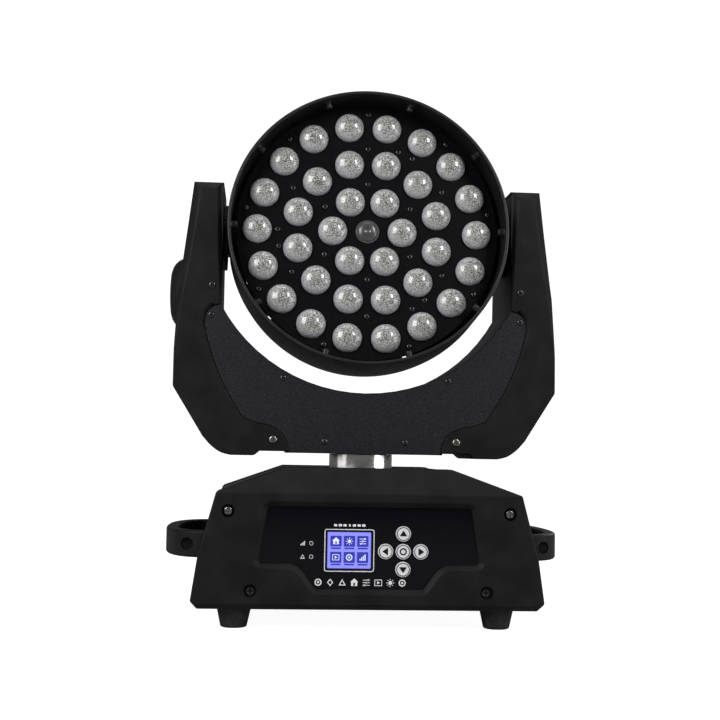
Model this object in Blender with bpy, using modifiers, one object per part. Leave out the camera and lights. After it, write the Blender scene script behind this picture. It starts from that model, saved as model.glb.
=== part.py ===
"""Moving head light: a base, a yoke that pans on it and a head that tilts in the yoke.

Run with: blender --background --python part.py, or from Blender's text editor.
Sizes below are in millimetres and are turned into metres as each mesh is made.
+X is the object's left-to-right, -Y its front and +Z up. The feet stand on z = 0 and
the pan axis is the Z axis.
"""

import math

import bmesh
import bpy
from mathutils import Matrix, Vector

MM = 0.001
GAP = 0.3                       # left between solids that touch

# ---------------------------------------------------------------- base
BASE_BOTTOM = 17.6
BASE_TOP = 136.8
SHOULDER_Z = 115.5
BASE_DEPTH = 240.0
BEZEL_DEPTH = 45.0
BEZEL_WALL = 3.0
BEZEL_FACE = 6.0                # thickness of a bezel's face
FACE_SLOPE_BACK = 14.0          # how far the face leans back above the shoulder
FACE_CHAMFER = 5.0              # along the bottom of the face
BASE_HALF = [(144.4, BASE_BOTTOM), (150.0, 24.5), (144.8, 61.0), (130.4, SHOULDER_Z),
             (71.6, BASE_TOP)]
SHEET = 1.5
TRAY_SHEET = 2.0
TRAY_CORNERS = [(147.6, 22.0), (144.2, BASE_BOTTOM)]
CUT_REACH = 160.0               # how far a cutter passes beyond the base on each side
CUT_SPARE = 10.0                # how far other cutters pass beyond what they cut
FOOT_X, FOOT_Y = 113.6, 90.0
FOOT_RADII = (11.2, 15.0)       # bottom, top
BEZEL_SCREWS = [(119.8, 99.7), (100.0, 33.1)]
BEZEL_SCREW_RADIUS = 5.75
BEZEL_SCREW_DEPTH = 3.5

PANEL_HALF_WIDTH, PANEL_Z = 100.0, (30.0, 109.0)
PANEL_THICK = 2.0
LCD_X, LCD_Z = -17.0, 67.5
LCD_WINDOW = (36.6, 30.2)
LCD_BODY = (44.0, 38.0)
LCD_DEPTH = 5.8
KEY_RADIUS = 6.5
KEY_PITCH = 15.0
KEY_X, KEY_Z = 28.8, 67.0
KEY_PROUD = 1.6
KEY_CLEARANCE = 0.35
KEY_STEM = 2.0
KEY_EDGE, KEY_SWITCH_HEIGHT = 0.6, 1.4

HANDLE_ROOT_X, HANDLE_REACH = 138.0, 39.9
HANDLE_HALF_LENGTH = 95.0
HANDLE_SQUARENESS = 2.5         # exponent of its rounded plan: 2 would be an ellipse
HANDLE_Z = (58.5, 81.5)
HANDLE_BAR = 11.0
HANDLE_STEPS = 16               # straight runs round its bend
HANDLE_TAIL = 18.0              # how far its ends run into the base before they are trimmed
HANDLE_HOLE_X, HANDLE_HOLE_RADIUS, HANDLE_HOLE_FLOOR = 155.0, 5.4, 84.0

REAR_WINDOW = (186.0, 66.0)
REAR_WINDOW_Z = 69.0
INLET_X, DMX_X, SOCKET_Z = 60.0, (-68.0, -30.0), 70.0
INLET_FLANGE, INLET_FLANGE_THICK = (50.0, 30.0), 2.5
INLET_BODY, INLET_MOUTH = (27.0, 20.0), (24.2, 16.4)
INLET_LENGTH, INLET_DEPTH = 24.0, 16.0      # behind the panel, and of the mouth
DMX_FLANGE, DMX_FLANGE_THICK = (26.0, 31.0), 2.0
DMX_BARREL, DMX_MOUTH = 12.0, 9.6
DMX_LENGTH, DMX_DEPTH = 20.0, 14.0
SOCKET_CLEARANCE = 0.35

CONTROL_BOARD = (120.0, 72.0)
CONTROL_BOARD_X = 4.0
BOARD_SHEET = 1.6
POWER_SUPPLY = ((-126, -68, 24), (-40, 68, 84))

# ---------------------------------------------------------------- pan drive
COLLAR_RADIUS, COLLAR_TOP = 29.5, 148.9
COLLAR_CLEARANCE = 3.0
NECK_RADIUS, NECK_TOP = 22.5, 172.0
SHAFT_BORE = 17.0
SHAFT_FLANGE_RADIUS, SHAFT_FLANGE_THICK = 48.0, 3.0
PAN_PLATE_Z = (153.7, 156.2)
PAN_BEARING_RADIUS = 34.0
BELT_THICK, BELT_WIDTH = 1.5, 6.5
BELT_GAP = 0.45                 # between a belt's flats and its wheels' corners
PAN_PULLEY_SEAT = 41.0
PAN_PINION_SEAT = 10.25         # a quarter of the pulley's
PAN_DRIVE_Z = (158.5, 167.5)
PAN_MOTOR_X, PAN_MOTOR_SIDE, PAN_MOTOR_Z = 82.0, 56.4, (170.0, 206.0)

# ---------------------------------------------------------------- yoke
YOKE_HALF_DEPTH = 50.0
COVER_WALL = 3.0
COVER_CHAMFER = 4.5
CHAMFER_LOWEST = 239.0          # the chamfer runs out at the bend in the arm's outer side
ARM_TOP = 394.3
COVER_BOTTOM = 150.3
ARM_INNER_X = 132.6
ARM_CLOSING_X = 40.0            # where the arm's outline is closed, well inside the yoke
ARC_CENTRE_Z, ARC_RADIUS = 355.5, 151.5
FRAME_SHEET = 2.5
FRAME_HALF_DEPTH = 46.5
WEB_X = 117.0
PLATE_SHEET = 1.5
PLATE_BOTTOM = 149.0
SEAM_GAP = 0.4
CAP_Z, CAP_RADIUS, CAP_X, CAP_WALL = 296.0, 35.5, 181.0, 2.2
CAP_ROOT_X, CAP_EDGE_X = 158.0, 176.0
CAP_EDGE_IN, CAP_FACE_IN = 1.5, 10.0        # how much the radius shrinks at the edge and face
CAP_HOLE, CAP_HOLE_X = 31.0, (-190.0, -140.0)
DRIVER_BOARD = ((151.0, -40.0, 215.0), (152.6, 40.0, 325.0))

# ---------------------------------------------------------------- tilt drive
TILT_Z = 350.0
REST_TILT = 6.11                # degrees that the beam points above level at rest
HUB_FLANGE_RADIUS, HUB_FLANGE_X = 30.5, (129.0, 131.6)
HUB_RADIUS, HUB_BORE = 18.0, 12.0
HUB_X = (111.8, 150.0)
TILT_BEARING_RADIUS, TILT_BEARING_X = 25.7, (132.6, 139.8)
TILT_DRIVE_X = (140.5, 149.5)
TILT_PULLEY_SEAT = 34.0
TILT_PINION_SEAT = 8.5          # a quarter of the pulley's
TILT_MOTOR_SIDE, TILT_MOTOR_X = 42.0, (150.5, 176.0)
MOTOR_CORNER = 4.0
RIGHT_HUB_SHORTER = 8.0

# ---------------------------------------------------------------- head
RING_RADIUS, RING_WALL = 128.5, 3.0
RING_FRONT, RING_BACK = 59.6, -3.7
HUB_NOTCH, HUB_NOTCH_X = 22.0, (90.0, 140.0)
PEG_COUNT, PEG_RADIUS, PEG_INNER, PEG_FORWARD = 10, 3.2, 119.5, 48.5
PLATE_RADIUS, PLATE_FRONT, PLATE_THICK = 121.0, 36.0, 2.0
LENS_RADIUS = 13.5
LENS_RINGS = [(32.2, 6, 0.0), (66.4, 12, 15.0), (101.7, 18, 0.0)]   # radius, count, first angle
LENS_HEIGHT = 8.5
LENS_STEP = 0.5                 # how far a lens' rim stands out of the plate
CENTRE_LENS_RADIUS, CENTRE_LENS_HEIGHT = 11.0, 4.0
DOME_LEVEL = math.radians(48)               # where a dome's one ring of corners lies
WEB_RADIUS, WEB_FRONT, WEB_THICK = 116.0, 32.0, 3.0
BOARD_RADIUS, BOARD_FRONT, BOARD_THICK = 108.0, 13.6, 1.6
SINK_FRONT, SINK_BACK, FIN_BACK = 11.7, 4.0, -22.0
FIN_PITCH, FIN_THICK, FIN_COUNT, FIN_HALF_LENGTH = 16.0, 4.0, 9, 54.0
ZOOM_RADIUS, ZOOM_ANGLES = 84.0, (64.0, 183.0, 305.0)
ZOOM_SLEEVE_RADIUS, ZOOM_SLEEVE_BACK, ZOOM_SCREW_RADIUS = 4.5, 14.0, 2.1
ZOOM_SCREW_SPAN = (3.9, 25.7)
ZOOM_MOTOR_RADIUS, ZOOM_MOTOR_SPAN = 10.0, (-14.0, 3.6)
FRAME_SIDE_X, FRAME_HALF_HEIGHT, FRAME_BACK = (109.0, 111.5), 28.0, -26.0
AIR_HOLE_RADIUS, AIR_HOLE_SPAN = 24.0, (-30.0, -20.0)
FAN_SIDE, FAN_SPAN, FAN_HOLE = 80.0, (-47.0, -27.0), 38.0
FAN_SPOKES, SPOKE_WIDTH, SPOKE_THICK = 4, 3.0, 2.0
FAN_BLADES, BLADE_ROOT, BLADE_TIP = 7, 15.0, 36.0
BLADE_SWEEP, BLADE_TIP_HALF = (20.0, 5.0), 3.0         # degrees round the fan
ROTOR_INSET = (3.0, 2.0)        # of the rotor inside the frame, rear and front
FAN_CUP, SPOKE_LAP = 16.0, 6.0
HOUSING = [(127.5, -4.1), (126.5, -20.0), (120.0, -45.0), (105.0, -70.0), (85.0, -88.0)]
HOUSING_WALL = 2.5
GRILLE_RADIUS, GRILLE_SPAN = 60.0, (-88.0, -85.5)
GRILLE_SLOTS = [(24.0, 4), (44.0, 6)]       # middle radius, count
GRILLE_SLOT_HALF_WIDTH, GRILLE_RIB = 7.0, 7.0

ROUND = 48                      # sides of the head's ring and plate
MIDDLE_ROUND = 32               # sides of wheels, shafts and other turned parts
SMALL_ROUND = 16
LENS_ROUND = 8

# colour, roughness, metallic
MATERIALS = {
    "cover_plastic": ((0.018, 0.018, 0.019), 0.55, 0.0),
    "powder_coat": ((0.022, 0.023, 0.028), 0.5, 0.0),
    "gloss_panel": ((0.006, 0.006, 0.008), 0.1, 0.0),
    "display": ((0.22, 0.24, 0.85), 0.2, 0.0),
    "key_cap": ((0.75, 0.75, 0.75), 0.35, 0.0),
    "rubber": ((0.02, 0.02, 0.02), 0.8, 0.0),
    "steel": ((0.62, 0.62, 0.6), 0.25, 1.0),
    "aluminium": ((0.7, 0.7, 0.72), 0.35, 1.0),
    "circuit_board": ((0.02, 0.12, 0.05), 0.4, 0.0),
    "lens": ((0.85, 0.85, 0.85), 0.05, 0.0),
}


# ================================================================ scene and helpers

def clear_scene():
    """Remove what the scene holds, so that the part stands alone in it."""
    for obj in list(bpy.data.objects):
        bpy.data.objects.remove(obj, do_unlink=True)


def new_collection(name):
    collection = bpy.data.collections.new(name)
    bpy.context.scene.collection.children.link(collection)
    return collection


def make_material(name):
    colour, roughness, metallic = MATERIALS[name]
    material = bpy.data.materials.new(name)
    material.use_nodes = True
    shader = material.node_tree.nodes["Principled BSDF"]
    shader.inputs["Base Color"].default_value = (*colour, 1.0)
    shader.inputs["Roughness"].default_value = roughness
    shader.inputs["Metallic"].default_value = metallic
    return material


clear_scene()
PARTS = new_collection("moving_head_light")
CUTTERS = new_collection("cutters")
SHADERS = {name: make_material(name) for name in MATERIALS}


def empty(name, location, tilt=0.0, parent=None):
    """An axis that moving pieces hang from: a place, and a turn in degrees about X."""
    axis = bpy.data.objects.new(name, None)
    axis.location = Vector(location) * MM
    axis.rotation_euler = (math.radians(tilt), 0.0, 0.0)
    axis.parent = parent
    PARTS.objects.link(axis)
    return axis


def add(name, mesh, material, parent=None, place=None):
    """Put a mesh in the part, under its axis and at its place there."""
    obj = bpy.data.objects.new(name, mesh)
    PARTS.objects.link(obj)
    mesh.materials.append(SHADERS[material])
    obj.parent = parent
    obj.matrix_basis = place or Matrix()
    mesh.set_sharp_from_angle(angle=math.radians(35))
    return obj


def cutter(obj):
    """Turn a solid into a tool that only cuts or joins others."""
    PARTS.objects.unlink(obj)
    CUTTERS.objects.link(obj)
    obj.hide_render = True
    obj.display_type = "WIRE"
    return obj


def combine(target, tool, operation="DIFFERENCE"):
    modifier = target.modifiers.new(tool.name, "BOOLEAN")
    modifier.operation = operation
    modifier.solver = "EXACT"
    modifier.object = cutter(tool) if tool.name in PARTS.objects else tool
    return target


def join(target, tool):
    return combine(target, tool, "UNION")


# Turns that carry an outline drawn in (u, v), and its thickness in w, into place.
TURNS = {
    "XY": Matrix(((1, 0, 0, 0), (0, 1, 0, 0), (0, 0, 1, 0), (0, 0, 0, 1))),
    "XZ": Matrix(((1, 0, 0, 0), (0, 0, -1, 0), (0, 1, 0, 0), (0, 0, 0, 1))),
    "YZ": Matrix(((0, 0, 1, 0), (1, 0, 0, 0), (0, 1, 0, 0), (0, 0, 0, 1))),
}
# The world direction of w is -Y for XZ, so a depth along -Y is positive there.


def prism(name, plane, outline, low, high, material, holes=(), parent=None, at=(0, 0, 0)):
    """A flat outline, with holes, given thickness from low to high along its plane's normal."""
    curve = bpy.data.curves.new(name, "CURVE")
    curve.dimensions = "2D"
    curve.fill_mode = "BOTH"
    curve.extrude = (high - low) / 2 * MM
    for ring in (outline, *holes):
        spline = curve.splines.new("POLY")
        spline.points.add(len(ring) - 1)
        for point, (u, v) in zip(spline.points, ring):
            point.co = (u * MM, v * MM, 0.0, 1.0)
        spline.use_cyclic_u = True
    guide = bpy.data.objects.new(name + "_outline", curve)
    bpy.context.scene.collection.objects.link(guide)
    depsgraph = bpy.context.evaluated_depsgraph_get()
    mesh = bpy.data.meshes.new_from_object(guide.evaluated_get(depsgraph))
    mesh.name = name
    bpy.data.objects.remove(guide)
    bpy.data.curves.remove(curve)
    work = bmesh.new()
    work.from_mesh(mesh)
    bmesh.ops.remove_doubles(work, verts=work.verts, dist=1e-6)
    bmesh.ops.recalc_face_normals(work, faces=work.faces)
    bmesh.ops.translate(work, verts=work.verts, vec=(0, 0, (low + high) / 2 * MM))
    work.to_mesh(mesh)
    work.free()
    place = Matrix.Translation(Vector(at) * MM) @ TURNS[plane]
    return add(name, mesh, material, parent, place)


def box(name, low, high, material, parent=None):
    mesh = bpy.data.meshes.new(name)
    work = bmesh.new()
    bmesh.ops.create_cube(work, size=1.0)
    size = Vector(high) - Vector(low)
    bmesh.ops.scale(work, verts=work.verts, vec=size * MM)
    work.to_mesh(mesh)
    work.free()
    centre = (Vector(high) + Vector(low)) / 2 * MM
    return add(name, mesh, material, parent, Matrix.Translation(centre))


AXES = {
    "X": Matrix.Rotation(math.radians(90), 4, "Y"),
    "Y": Matrix.Rotation(math.radians(90), 4, "X"),      # its own +Z looks along -Y
    "Z": Matrix(),
}


def cylinder(name, axis, radius, low, high, material, parent=None, at=(0, 0, 0),
             sides=SMALL_ROUND, top_radius=None):
    """A round bar from low to high; along Y it is measured towards -Y, the front."""
    mesh = bpy.data.meshes.new(name)
    work = bmesh.new()
    bmesh.ops.create_cone(work, cap_ends=True, segments=sides, radius1=radius * MM,
                          radius2=(top_radius or radius) * MM, depth=(high - low) * MM)
    bmesh.ops.translate(work, verts=work.verts, vec=(0, 0, (low + high) / 2 * MM))
    for face in work.faces:
        face.smooth = True
    work.to_mesh(mesh)
    work.free()
    place = Matrix.Translation(Vector(at) * MM) @ AXES[axis]
    return add(name, mesh, material, parent, place)


def turned(name, axis, profile, material, parent=None, at=(0, 0, 0), sides=MIDDLE_ROUND,
           closed=True):
    """A (radius, height) profile turned about its axis, outer side from top to bottom.

    A closed profile makes a ring; an open one starts and ends on the axis.
    """
    mesh = bpy.data.meshes.new(name)
    work = bmesh.new()
    corners = [work.verts.new((radius * MM, 0.0, height * MM)) for radius, height in profile]
    for first, second in zip(corners, corners[1:]):
        work.edges.new((first, second))
    if closed:
        work.edges.new((corners[-1], corners[0]))
    work.to_mesh(mesh)
    work.free()
    place = Matrix.Translation(Vector(at) * MM) @ AXES[axis]
    obj = add(name, mesh, material, parent, place)
    screw = obj.modifiers.new("turn", "SCREW")
    screw.steps = sides
    screw.render_steps = sides
    screw.use_merge_vertices = True
    screw.merge_threshold = 0.00001
    screw.use_smooth_shade = True
    return obj


def tube(name, axis, outer, inner, low, high, material, **place):
    profile = [(outer, high), (outer, low), (inner, low), (inner, high)]
    return turned(name, axis, profile, material, **place)


# ================================================================ outlines

def mirrored(half):
    """A half outline for x > 0, run bottom to top, made whole by its mirror image."""
    return half + [(-x, z) for x, z in reversed(half)]


def circle(radius, sides, centre=(0.0, 0.0), start=0.0):
    step = 2 * math.pi / sides
    return [(centre[0] + radius * math.cos(start + step * k),
             centre[1] + radius * math.sin(start + step * k)) for k in range(sides)]


def arc(centre, radius, first, last, steps):
    """Points round an arc from one angle to another, in degrees."""
    angles = [math.radians(first + (last - first) * k / steps) for k in range(steps + 1)]
    return [(centre[0] + radius * math.cos(a), centre[1] + radius * math.sin(a)) for a in angles]


def rectangle(width, height, centre=(0.0, 0.0)):
    u, v = centre
    return [(u - width / 2, v - height / 2), (u + width / 2, v - height / 2),
            (u + width / 2, v + height / 2), (u - width / 2, v + height / 2)]


def smooth(points, steps=4):
    """A Catmull-Rom curve through the points."""
    ends = [points[0], *points, points[-1]]
    curve = []
    for a, b, c, d in zip(ends, ends[1:], ends[2:], ends[3:]):
        for k in range(steps):
            t = k / steps
            curve.append(tuple(
                0.5 * (2 * q + (r - p) * t + (2 * p - 5 * q + 4 * r - s) * t ** 2
                       + (3 * q - p - 3 * r + s) * t ** 3)
                for p, q, r, s in zip(a, b, c, d)))
    curve.append(points[-1])
    return curve


def offset_line(a, b, distance):
    """The line from a to b moved to its left."""
    dx, dy = b[0] - a[0], b[1] - a[1]
    length = math.hypot(dx, dy)
    shift = (-dy / length * distance, dx / length * distance)
    return (a[0] + shift[0], a[1] + shift[1]), (dx / length, dy / length)


def inset(outline, distance):
    """A counter-clockwise outline moved inwards, or outwards for a negative distance."""
    count = len(outline)
    result = []
    for k in range(count):
        before, here, after = outline[k - 1], outline[k], outline[(k + 1) % count]
        (ax, ay), (adx, ady) = offset_line(before, here, distance)
        (bx, by), (bdx, bdy) = offset_line(here, after, distance)
        cross = adx * bdy - ady * bdx
        if abs(cross) < 1e-6:
            result.append((bx, by))
            continue
        t = ((bx - ax) * bdy - (by - ay) * bdx) / cross
        result.append((ax + adx * t, ay + ady * t))
    return result


def beside(points, distance):
    """An open line moved to its left, or to its right for a negative distance."""
    start = offset_line(points[0], points[1], distance)[0]
    moved = [start]
    for before, here, after in zip(points, points[1:], points[2:]):
        (ax, ay), (adx, ady) = offset_line(before, here, distance)
        (bx, by), (bdx, bdy) = offset_line(here, after, distance)
        cross = adx * bdy - ady * bdx
        t = ((bx - ax) * bdy - (by - ay) * bdx) / cross if abs(cross) > 1e-6 else math.dist(
            before, here)
        moved.append((ax + adx * t, ay + ady * t))
    last, along = offset_line(points[-2], points[-1], distance)
    length = math.dist(points[-2], points[-1])
    moved.append((last[0] + along[0] * length, last[1] + along[1] * length))
    return moved


def ribbon(points, thickness):
    """An open line given thickness on its left side, as a closed outline."""
    return list(points) + beside(points, thickness)[::-1]


def belt_outline(large, small, distance, steps=12):
    """The line round two wheels, the large one at the origin, the small one at +u."""
    lean = math.degrees(math.acos((large - small) / distance))
    return (arc((0.0, 0.0), large, lean, 360 - lean, steps * 2)
            + arc((distance, 0.0), small, -lean, lean, steps))


def polar(radius, degrees):
    return (radius * math.cos(math.radians(degrees)), radius * math.sin(math.radians(degrees)))


BASE_OUTLINE = mirrored(BASE_HALF)


def seam_line():
    """The edge between the yoke's front plate and the right arm cover, bottom to tip."""
    corner = smooth([(68.9, PLATE_BOTTOM), (69.5, 155.0), (74.4, 166.0), (86.0, 173.5),
                     (99.0, 176.0), (109.5, 180.0)], 3)
    rise = smooth([(111.5, 182.0), (125.7, 205.0), (137.5, 231.0), (144.0, 252.0)], 3)
    tip = smooth([(146.6, 264.0), (144.5, 274.0), (138.5, 279.8), (ARM_INNER_X, 281.6)], 3)
    return corner + rise + tip


def floor_arc(radius, steps=24):
    """The yoke's floor under the head, from the right arm round to the left."""
    reach = math.degrees(math.asin(ARM_INNER_X / ARC_RADIUS))
    return arc((0.0, ARC_CENTRE_Z), radius, -90 + reach, -90 - reach, steps)


ARM_OUTER = ([(159.6, ARM_TOP), (171.5, 293.0), (173.8, 240.5), (173.8, 207.2)]
             + smooth([(146.3, 163.0), (138.5, 154.5), (129.9, 148.6), (120.9, 146.2)], 3)
             + [(99.6, 146.2), (95.0, COVER_BOTTOM)])


# ================================================================ base

def bezel(name, front, opening):
    """One moulded end of the base. front is 1 for the front end and -1 for the rear."""
    face = BASE_DEPTH / 2

    def span(outer, inner):
        return sorted((front * outer, front * inner))

    shell = prism(name, "XZ", BASE_OUTLINE, *span(face, face - BEZEL_DEPTH), "cover_plastic")
    lean = [(-face - 1, SHOULDER_Z - (BASE_TOP - SHOULDER_Z) / FACE_SLOPE_BACK),
            (-face + FACE_SLOPE_BACK * 1.1, SHOULDER_Z + (BASE_TOP - SHOULDER_Z) * 1.1),
            (-face - 1, BASE_TOP + 5)]
    toe = [(-face - 1, BASE_BOTTOM - 1), (-face + FACE_CHAMFER + 1, BASE_BOTTOM - 1),
           (-face - 1, BASE_BOTTOM + FACE_CHAMFER + 1)]
    for tag, wedge in (("lean", lean), ("toe", toe)):
        outline = [(front * y, z) for y, z in wedge]
        combine(shell, prism(f"{name}_{tag}", "YZ", outline, -CUT_REACH, CUT_REACH,
                             "cover_plastic"))
    inner = inset(BASE_OUTLINE, BEZEL_WALL)
    low_part = [(x, min(z, SHOULDER_Z - 4.0)) for x, z in inner]
    for tag, outline, depth in (("low", low_part, BEZEL_FACE),
                                ("high", inner, FACE_SLOPE_BACK + BEZEL_WALL)):
        pocket = prism(f"{name}_{tag}_pocket", "XZ", outline,
                       *span(face - depth, face - BEZEL_DEPTH - 1), "cover_plastic")
        combine(shell, pocket)
    combine(shell, prism(f"{name}_window", "XZ", opening,
                         *span(face + 1, face - BEZEL_FACE - 1), "cover_plastic"))
    for side in (-1, 1):
        for x, z in BEZEL_SCREWS:
            hole = cylinder(f"{name}_screw_{side}_{int(z)}", "Y", BEZEL_SCREW_RADIUS,
                            *span(face + 1, face - BEZEL_SCREW_DEPTH), "cover_plastic",
                            at=(side * x, 0, z), sides=16)
            combine(shell, hole)
    return shell


def panel_opening():
    """The front opening: a wide upper part that narrows in an S on each side."""
    half = ([(45.8, 35.3)]
            + smooth([(51.0, 42.5), (57.5, 51.0), (65.0, 55.6), (72.0, 56.2)], 3)
            + arc((90.4, 59.2), 3.0, -90, -10, 3)
            + [(86.6, 104.0)])
    return mirrored(half)


def base_covers():
    bezel("front_bezel", 1, panel_opening())
    bezel("rear_bezel", -1, rectangle(*REAR_WINDOW, (0.0, REAR_WINDOW_Z)))
    end = BASE_DEPTH / 2 - BEZEL_DEPTH - GAP
    skin = inset(BASE_OUTLINE, 0.8)
    right = skin[1:5]
    over = right + [(-x, z) for x, z in reversed(right)]
    over[0] = over[0][0], over[0][1] + GAP
    over[-1] = over[-1][0], over[-1][1] + GAP
    cover = prism("base_top_cover", "XZ", ribbon(over, SHEET), -end, end, "powder_coat")
    combine(cover, cylinder("base_top_cover_hole", "Z", COLLAR_RADIUS + COLLAR_CLEARANCE,
                            BASE_TOP - CUT_SPARE, BASE_TOP + CUT_SPARE, "powder_coat", sides=32))
    pan = [(-x, z) for x, z in TRAY_CORNERS] + TRAY_CORNERS[::-1]
    prism("base_tray", "XZ", ribbon(pan, TRAY_SHEET), -end, end, "powder_coat")


def control_panel():
    face = BASE_DEPTH / 2 - BEZEL_FACE - GAP
    back = face - PANEL_THICK
    outline = rectangle(2 * PANEL_HALF_WIDTH, PANEL_Z[1] - PANEL_Z[0], (0.0, sum(PANEL_Z) / 2))
    window = rectangle(LCD_WINDOW[0] + 0.7, LCD_WINDOW[1] + 0.7, (LCD_X, LCD_Z))
    keys = {"up": (0, 1), "down": (0, -1), "left": (-1, 0), "right": (1, 0), "ok": (0, 0)}
    places = {key: (KEY_X + u * KEY_PITCH, KEY_Z + v * KEY_PITCH) for key, (u, v) in keys.items()}
    holes = [circle(KEY_RADIUS + KEY_CLEARANCE, SMALL_ROUND, place) for place in places.values()]
    prism("display_panel", "XZ", outline, back, face, "gloss_panel", holes=[window, *holes])

    glass = prism("lcd_module", "XZ", rectangle(*LCD_WINDOW, (LCD_X, LCD_Z)),
                  back - 2.0, face - 0.3, "display")
    join(glass, prism("lcd_body", "XZ", rectangle(*LCD_BODY, (LCD_X, LCD_Z)),
                      back - GAP - LCD_DEPTH, back - GAP, "display"))

    board_face = back - GAP - LCD_DEPTH - 1.0
    for key, (x, z) in places.items():
        travel_face = face + KEY_PROUD
        switch = board_face + KEY_SWITCH_HEIGHT
        profile = [(0, travel_face), (KEY_RADIUS - KEY_EDGE, travel_face),
                   (KEY_RADIUS, travel_face - KEY_EDGE), (KEY_RADIUS, back - 0.5),
                   (KEY_STEM, back - 0.5), (KEY_STEM, switch), (0, switch)]
        turned(f"button_{key}", "Y", profile, "key_cap", at=(x, 0, z), sides=SMALL_ROUND,
               closed=False)
    prism("control_board", "XZ", rectangle(*CONTROL_BOARD, (CONTROL_BOARD_X, REAR_WINDOW_Z)),
          board_face - BOARD_SHEET, board_face, "circuit_board")


def rear_connections():
    face = -(BASE_DEPTH / 2 - BEZEL_FACE - GAP)         # depth along -Y, so the rear is negative
    inner = face + PANEL_THICK
    outside = face - GAP
    outline = rectangle(2 * PANEL_HALF_WIDTH, PANEL_Z[1] - PANEL_Z[0], (0.0, sum(PANEL_Z) / 2))
    holes = [inset(rectangle(*INLET_BODY, (INLET_X, SOCKET_Z)), -SOCKET_CLEARANCE)]
    holes += [circle(DMX_BARREL + SOCKET_CLEARANCE, SMALL_ROUND, (x, SOCKET_Z)) for x in DMX_X]
    prism("rear_panel", "XZ", outline, face, inner, "powder_coat", holes=holes)

    inlet = prism("power_inlet", "XZ", rectangle(*INLET_FLANGE, (INLET_X, SOCKET_Z)),
                  outside - INLET_FLANGE_THICK, outside, "gloss_panel")
    join(inlet, prism("power_inlet_body", "XZ", rectangle(*INLET_BODY, (INLET_X, SOCKET_Z)),
                      outside - 1.0, inner + INLET_LENGTH, "gloss_panel"))
    combine(inlet, prism("power_inlet_mouth", "XZ", rectangle(*INLET_MOUTH, (INLET_X, SOCKET_Z)),
                         outside - 5.0, outside + INLET_DEPTH, "gloss_panel"))
    for name, x in zip(("dmx_in_socket", "dmx_out_socket"), DMX_X):
        socket = prism(name, "XZ", rectangle(*DMX_FLANGE, (x, SOCKET_Z)),
                       outside - DMX_FLANGE_THICK, outside, "gloss_panel")
        join(socket, cylinder(name + "_barrel", "Y", DMX_BARREL, outside - 1.0,
                              inner + DMX_LENGTH, "gloss_panel", at=(x, 0, SOCKET_Z)))
        combine(socket, cylinder(name + "_mouth", "Y", DMX_MOUTH, outside - 5.0,
                                 outside + DMX_DEPTH, "gloss_panel", at=(x, 0, SOCKET_Z)))


def handles():
    trim = inset(BASE_OUTLINE, -GAP)
    outer = []
    for step in range(HANDLE_STEPS + 1):
        turn = math.pi * (step / HANDLE_STEPS - 0.5)
        u, v = (abs(wave) ** (2 / HANDLE_SQUARENESS) for wave in (math.cos(turn), math.sin(turn)))
        outer.append((HANDLE_ROOT_X + HANDLE_REACH * u,
                      math.copysign(HANDLE_HALF_LENGTH * v, turn)))
    inner = beside(outer, HANDLE_BAR)
    end_x = HANDLE_ROOT_X - HANDLE_TAIL
    band = ([(end_x, -HANDLE_HALF_LENGTH)] + outer + [(end_x, HANDLE_HALF_LENGTH)]
            + [(end_x, inner[-1][1])] + inner[::-1] + [(end_x, inner[0][1])])
    for name, side in (("handle_left", -1), ("handle_right", 1)):
        outline = [(side * u, v) for u, v in band]
        handle = prism(name, "XY", outline, *HANDLE_Z, "cover_plastic")
        combine(handle, prism(name + "_trim", "XZ", trim, -CUT_REACH, CUT_REACH, "cover_plastic"))
        combine(handle, cylinder(name + "_hole", "Y", HANDLE_HOLE_RADIUS,
                                 HANDLE_HOLE_FLOOR, HANDLE_HALF_LENGTH + 1, "cover_plastic",
                                 at=(side * HANDLE_HOLE_X, 0, sum(HANDLE_Z) / 2), sides=16))


def feet():
    for row, y in (("front", -FOOT_Y), ("rear", FOOT_Y)):
        for side, x in (("left", -FOOT_X), ("right", FOOT_X)):
            cylinder(f"foot_{row}_{side}", "Z", FOOT_RADII[0], 0.0, BASE_BOTTOM - GAP, "rubber",
                     at=(x, y, 0), sides=24, top_radius=FOOT_RADII[1])


def base_insides():
    box("power_supply", *POWER_SUPPLY, "aluminium")
    sheet_under = BASE_TOP - 0.8 - SHEET - GAP
    profile = [(NECK_RADIUS, NECK_TOP), (NECK_RADIUS, COLLAR_TOP), (COLLAR_RADIUS, COLLAR_TOP),
               (COLLAR_RADIUS, sheet_under), (SHAFT_FLANGE_RADIUS, sheet_under),
               (SHAFT_FLANGE_RADIUS, sheet_under - SHAFT_FLANGE_THICK),
               (SHAFT_BORE, sheet_under - SHAFT_FLANGE_THICK), (SHAFT_BORE, NECK_TOP)]
    turned("pan_shaft", "Z", profile, "steel")


# ================================================================ belt drives

def grooved_wheel(name, axis, seat, bore, low, high, at, parent, solid=False):
    """A belt wheel: a seat between two flanges, on a shaft or with its own."""
    rim, lip = seat + 1.8, 1.0
    profile = [(rim, high), (rim, high - lip), (seat, high - lip), (seat, low + lip),
               (rim, low + lip), (rim, low)]
    if solid:
        profile = [(0, high)] + profile + [(0, low)]
    else:
        profile += [(bore, low), (bore, high)]
    sides = MIDDLE_ROUND if seat > 20 else SMALL_ROUND
    return turned(name, axis, profile, "aluminium", at=at, parent=parent, sides=sides,
                  closed=not solid)


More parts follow.
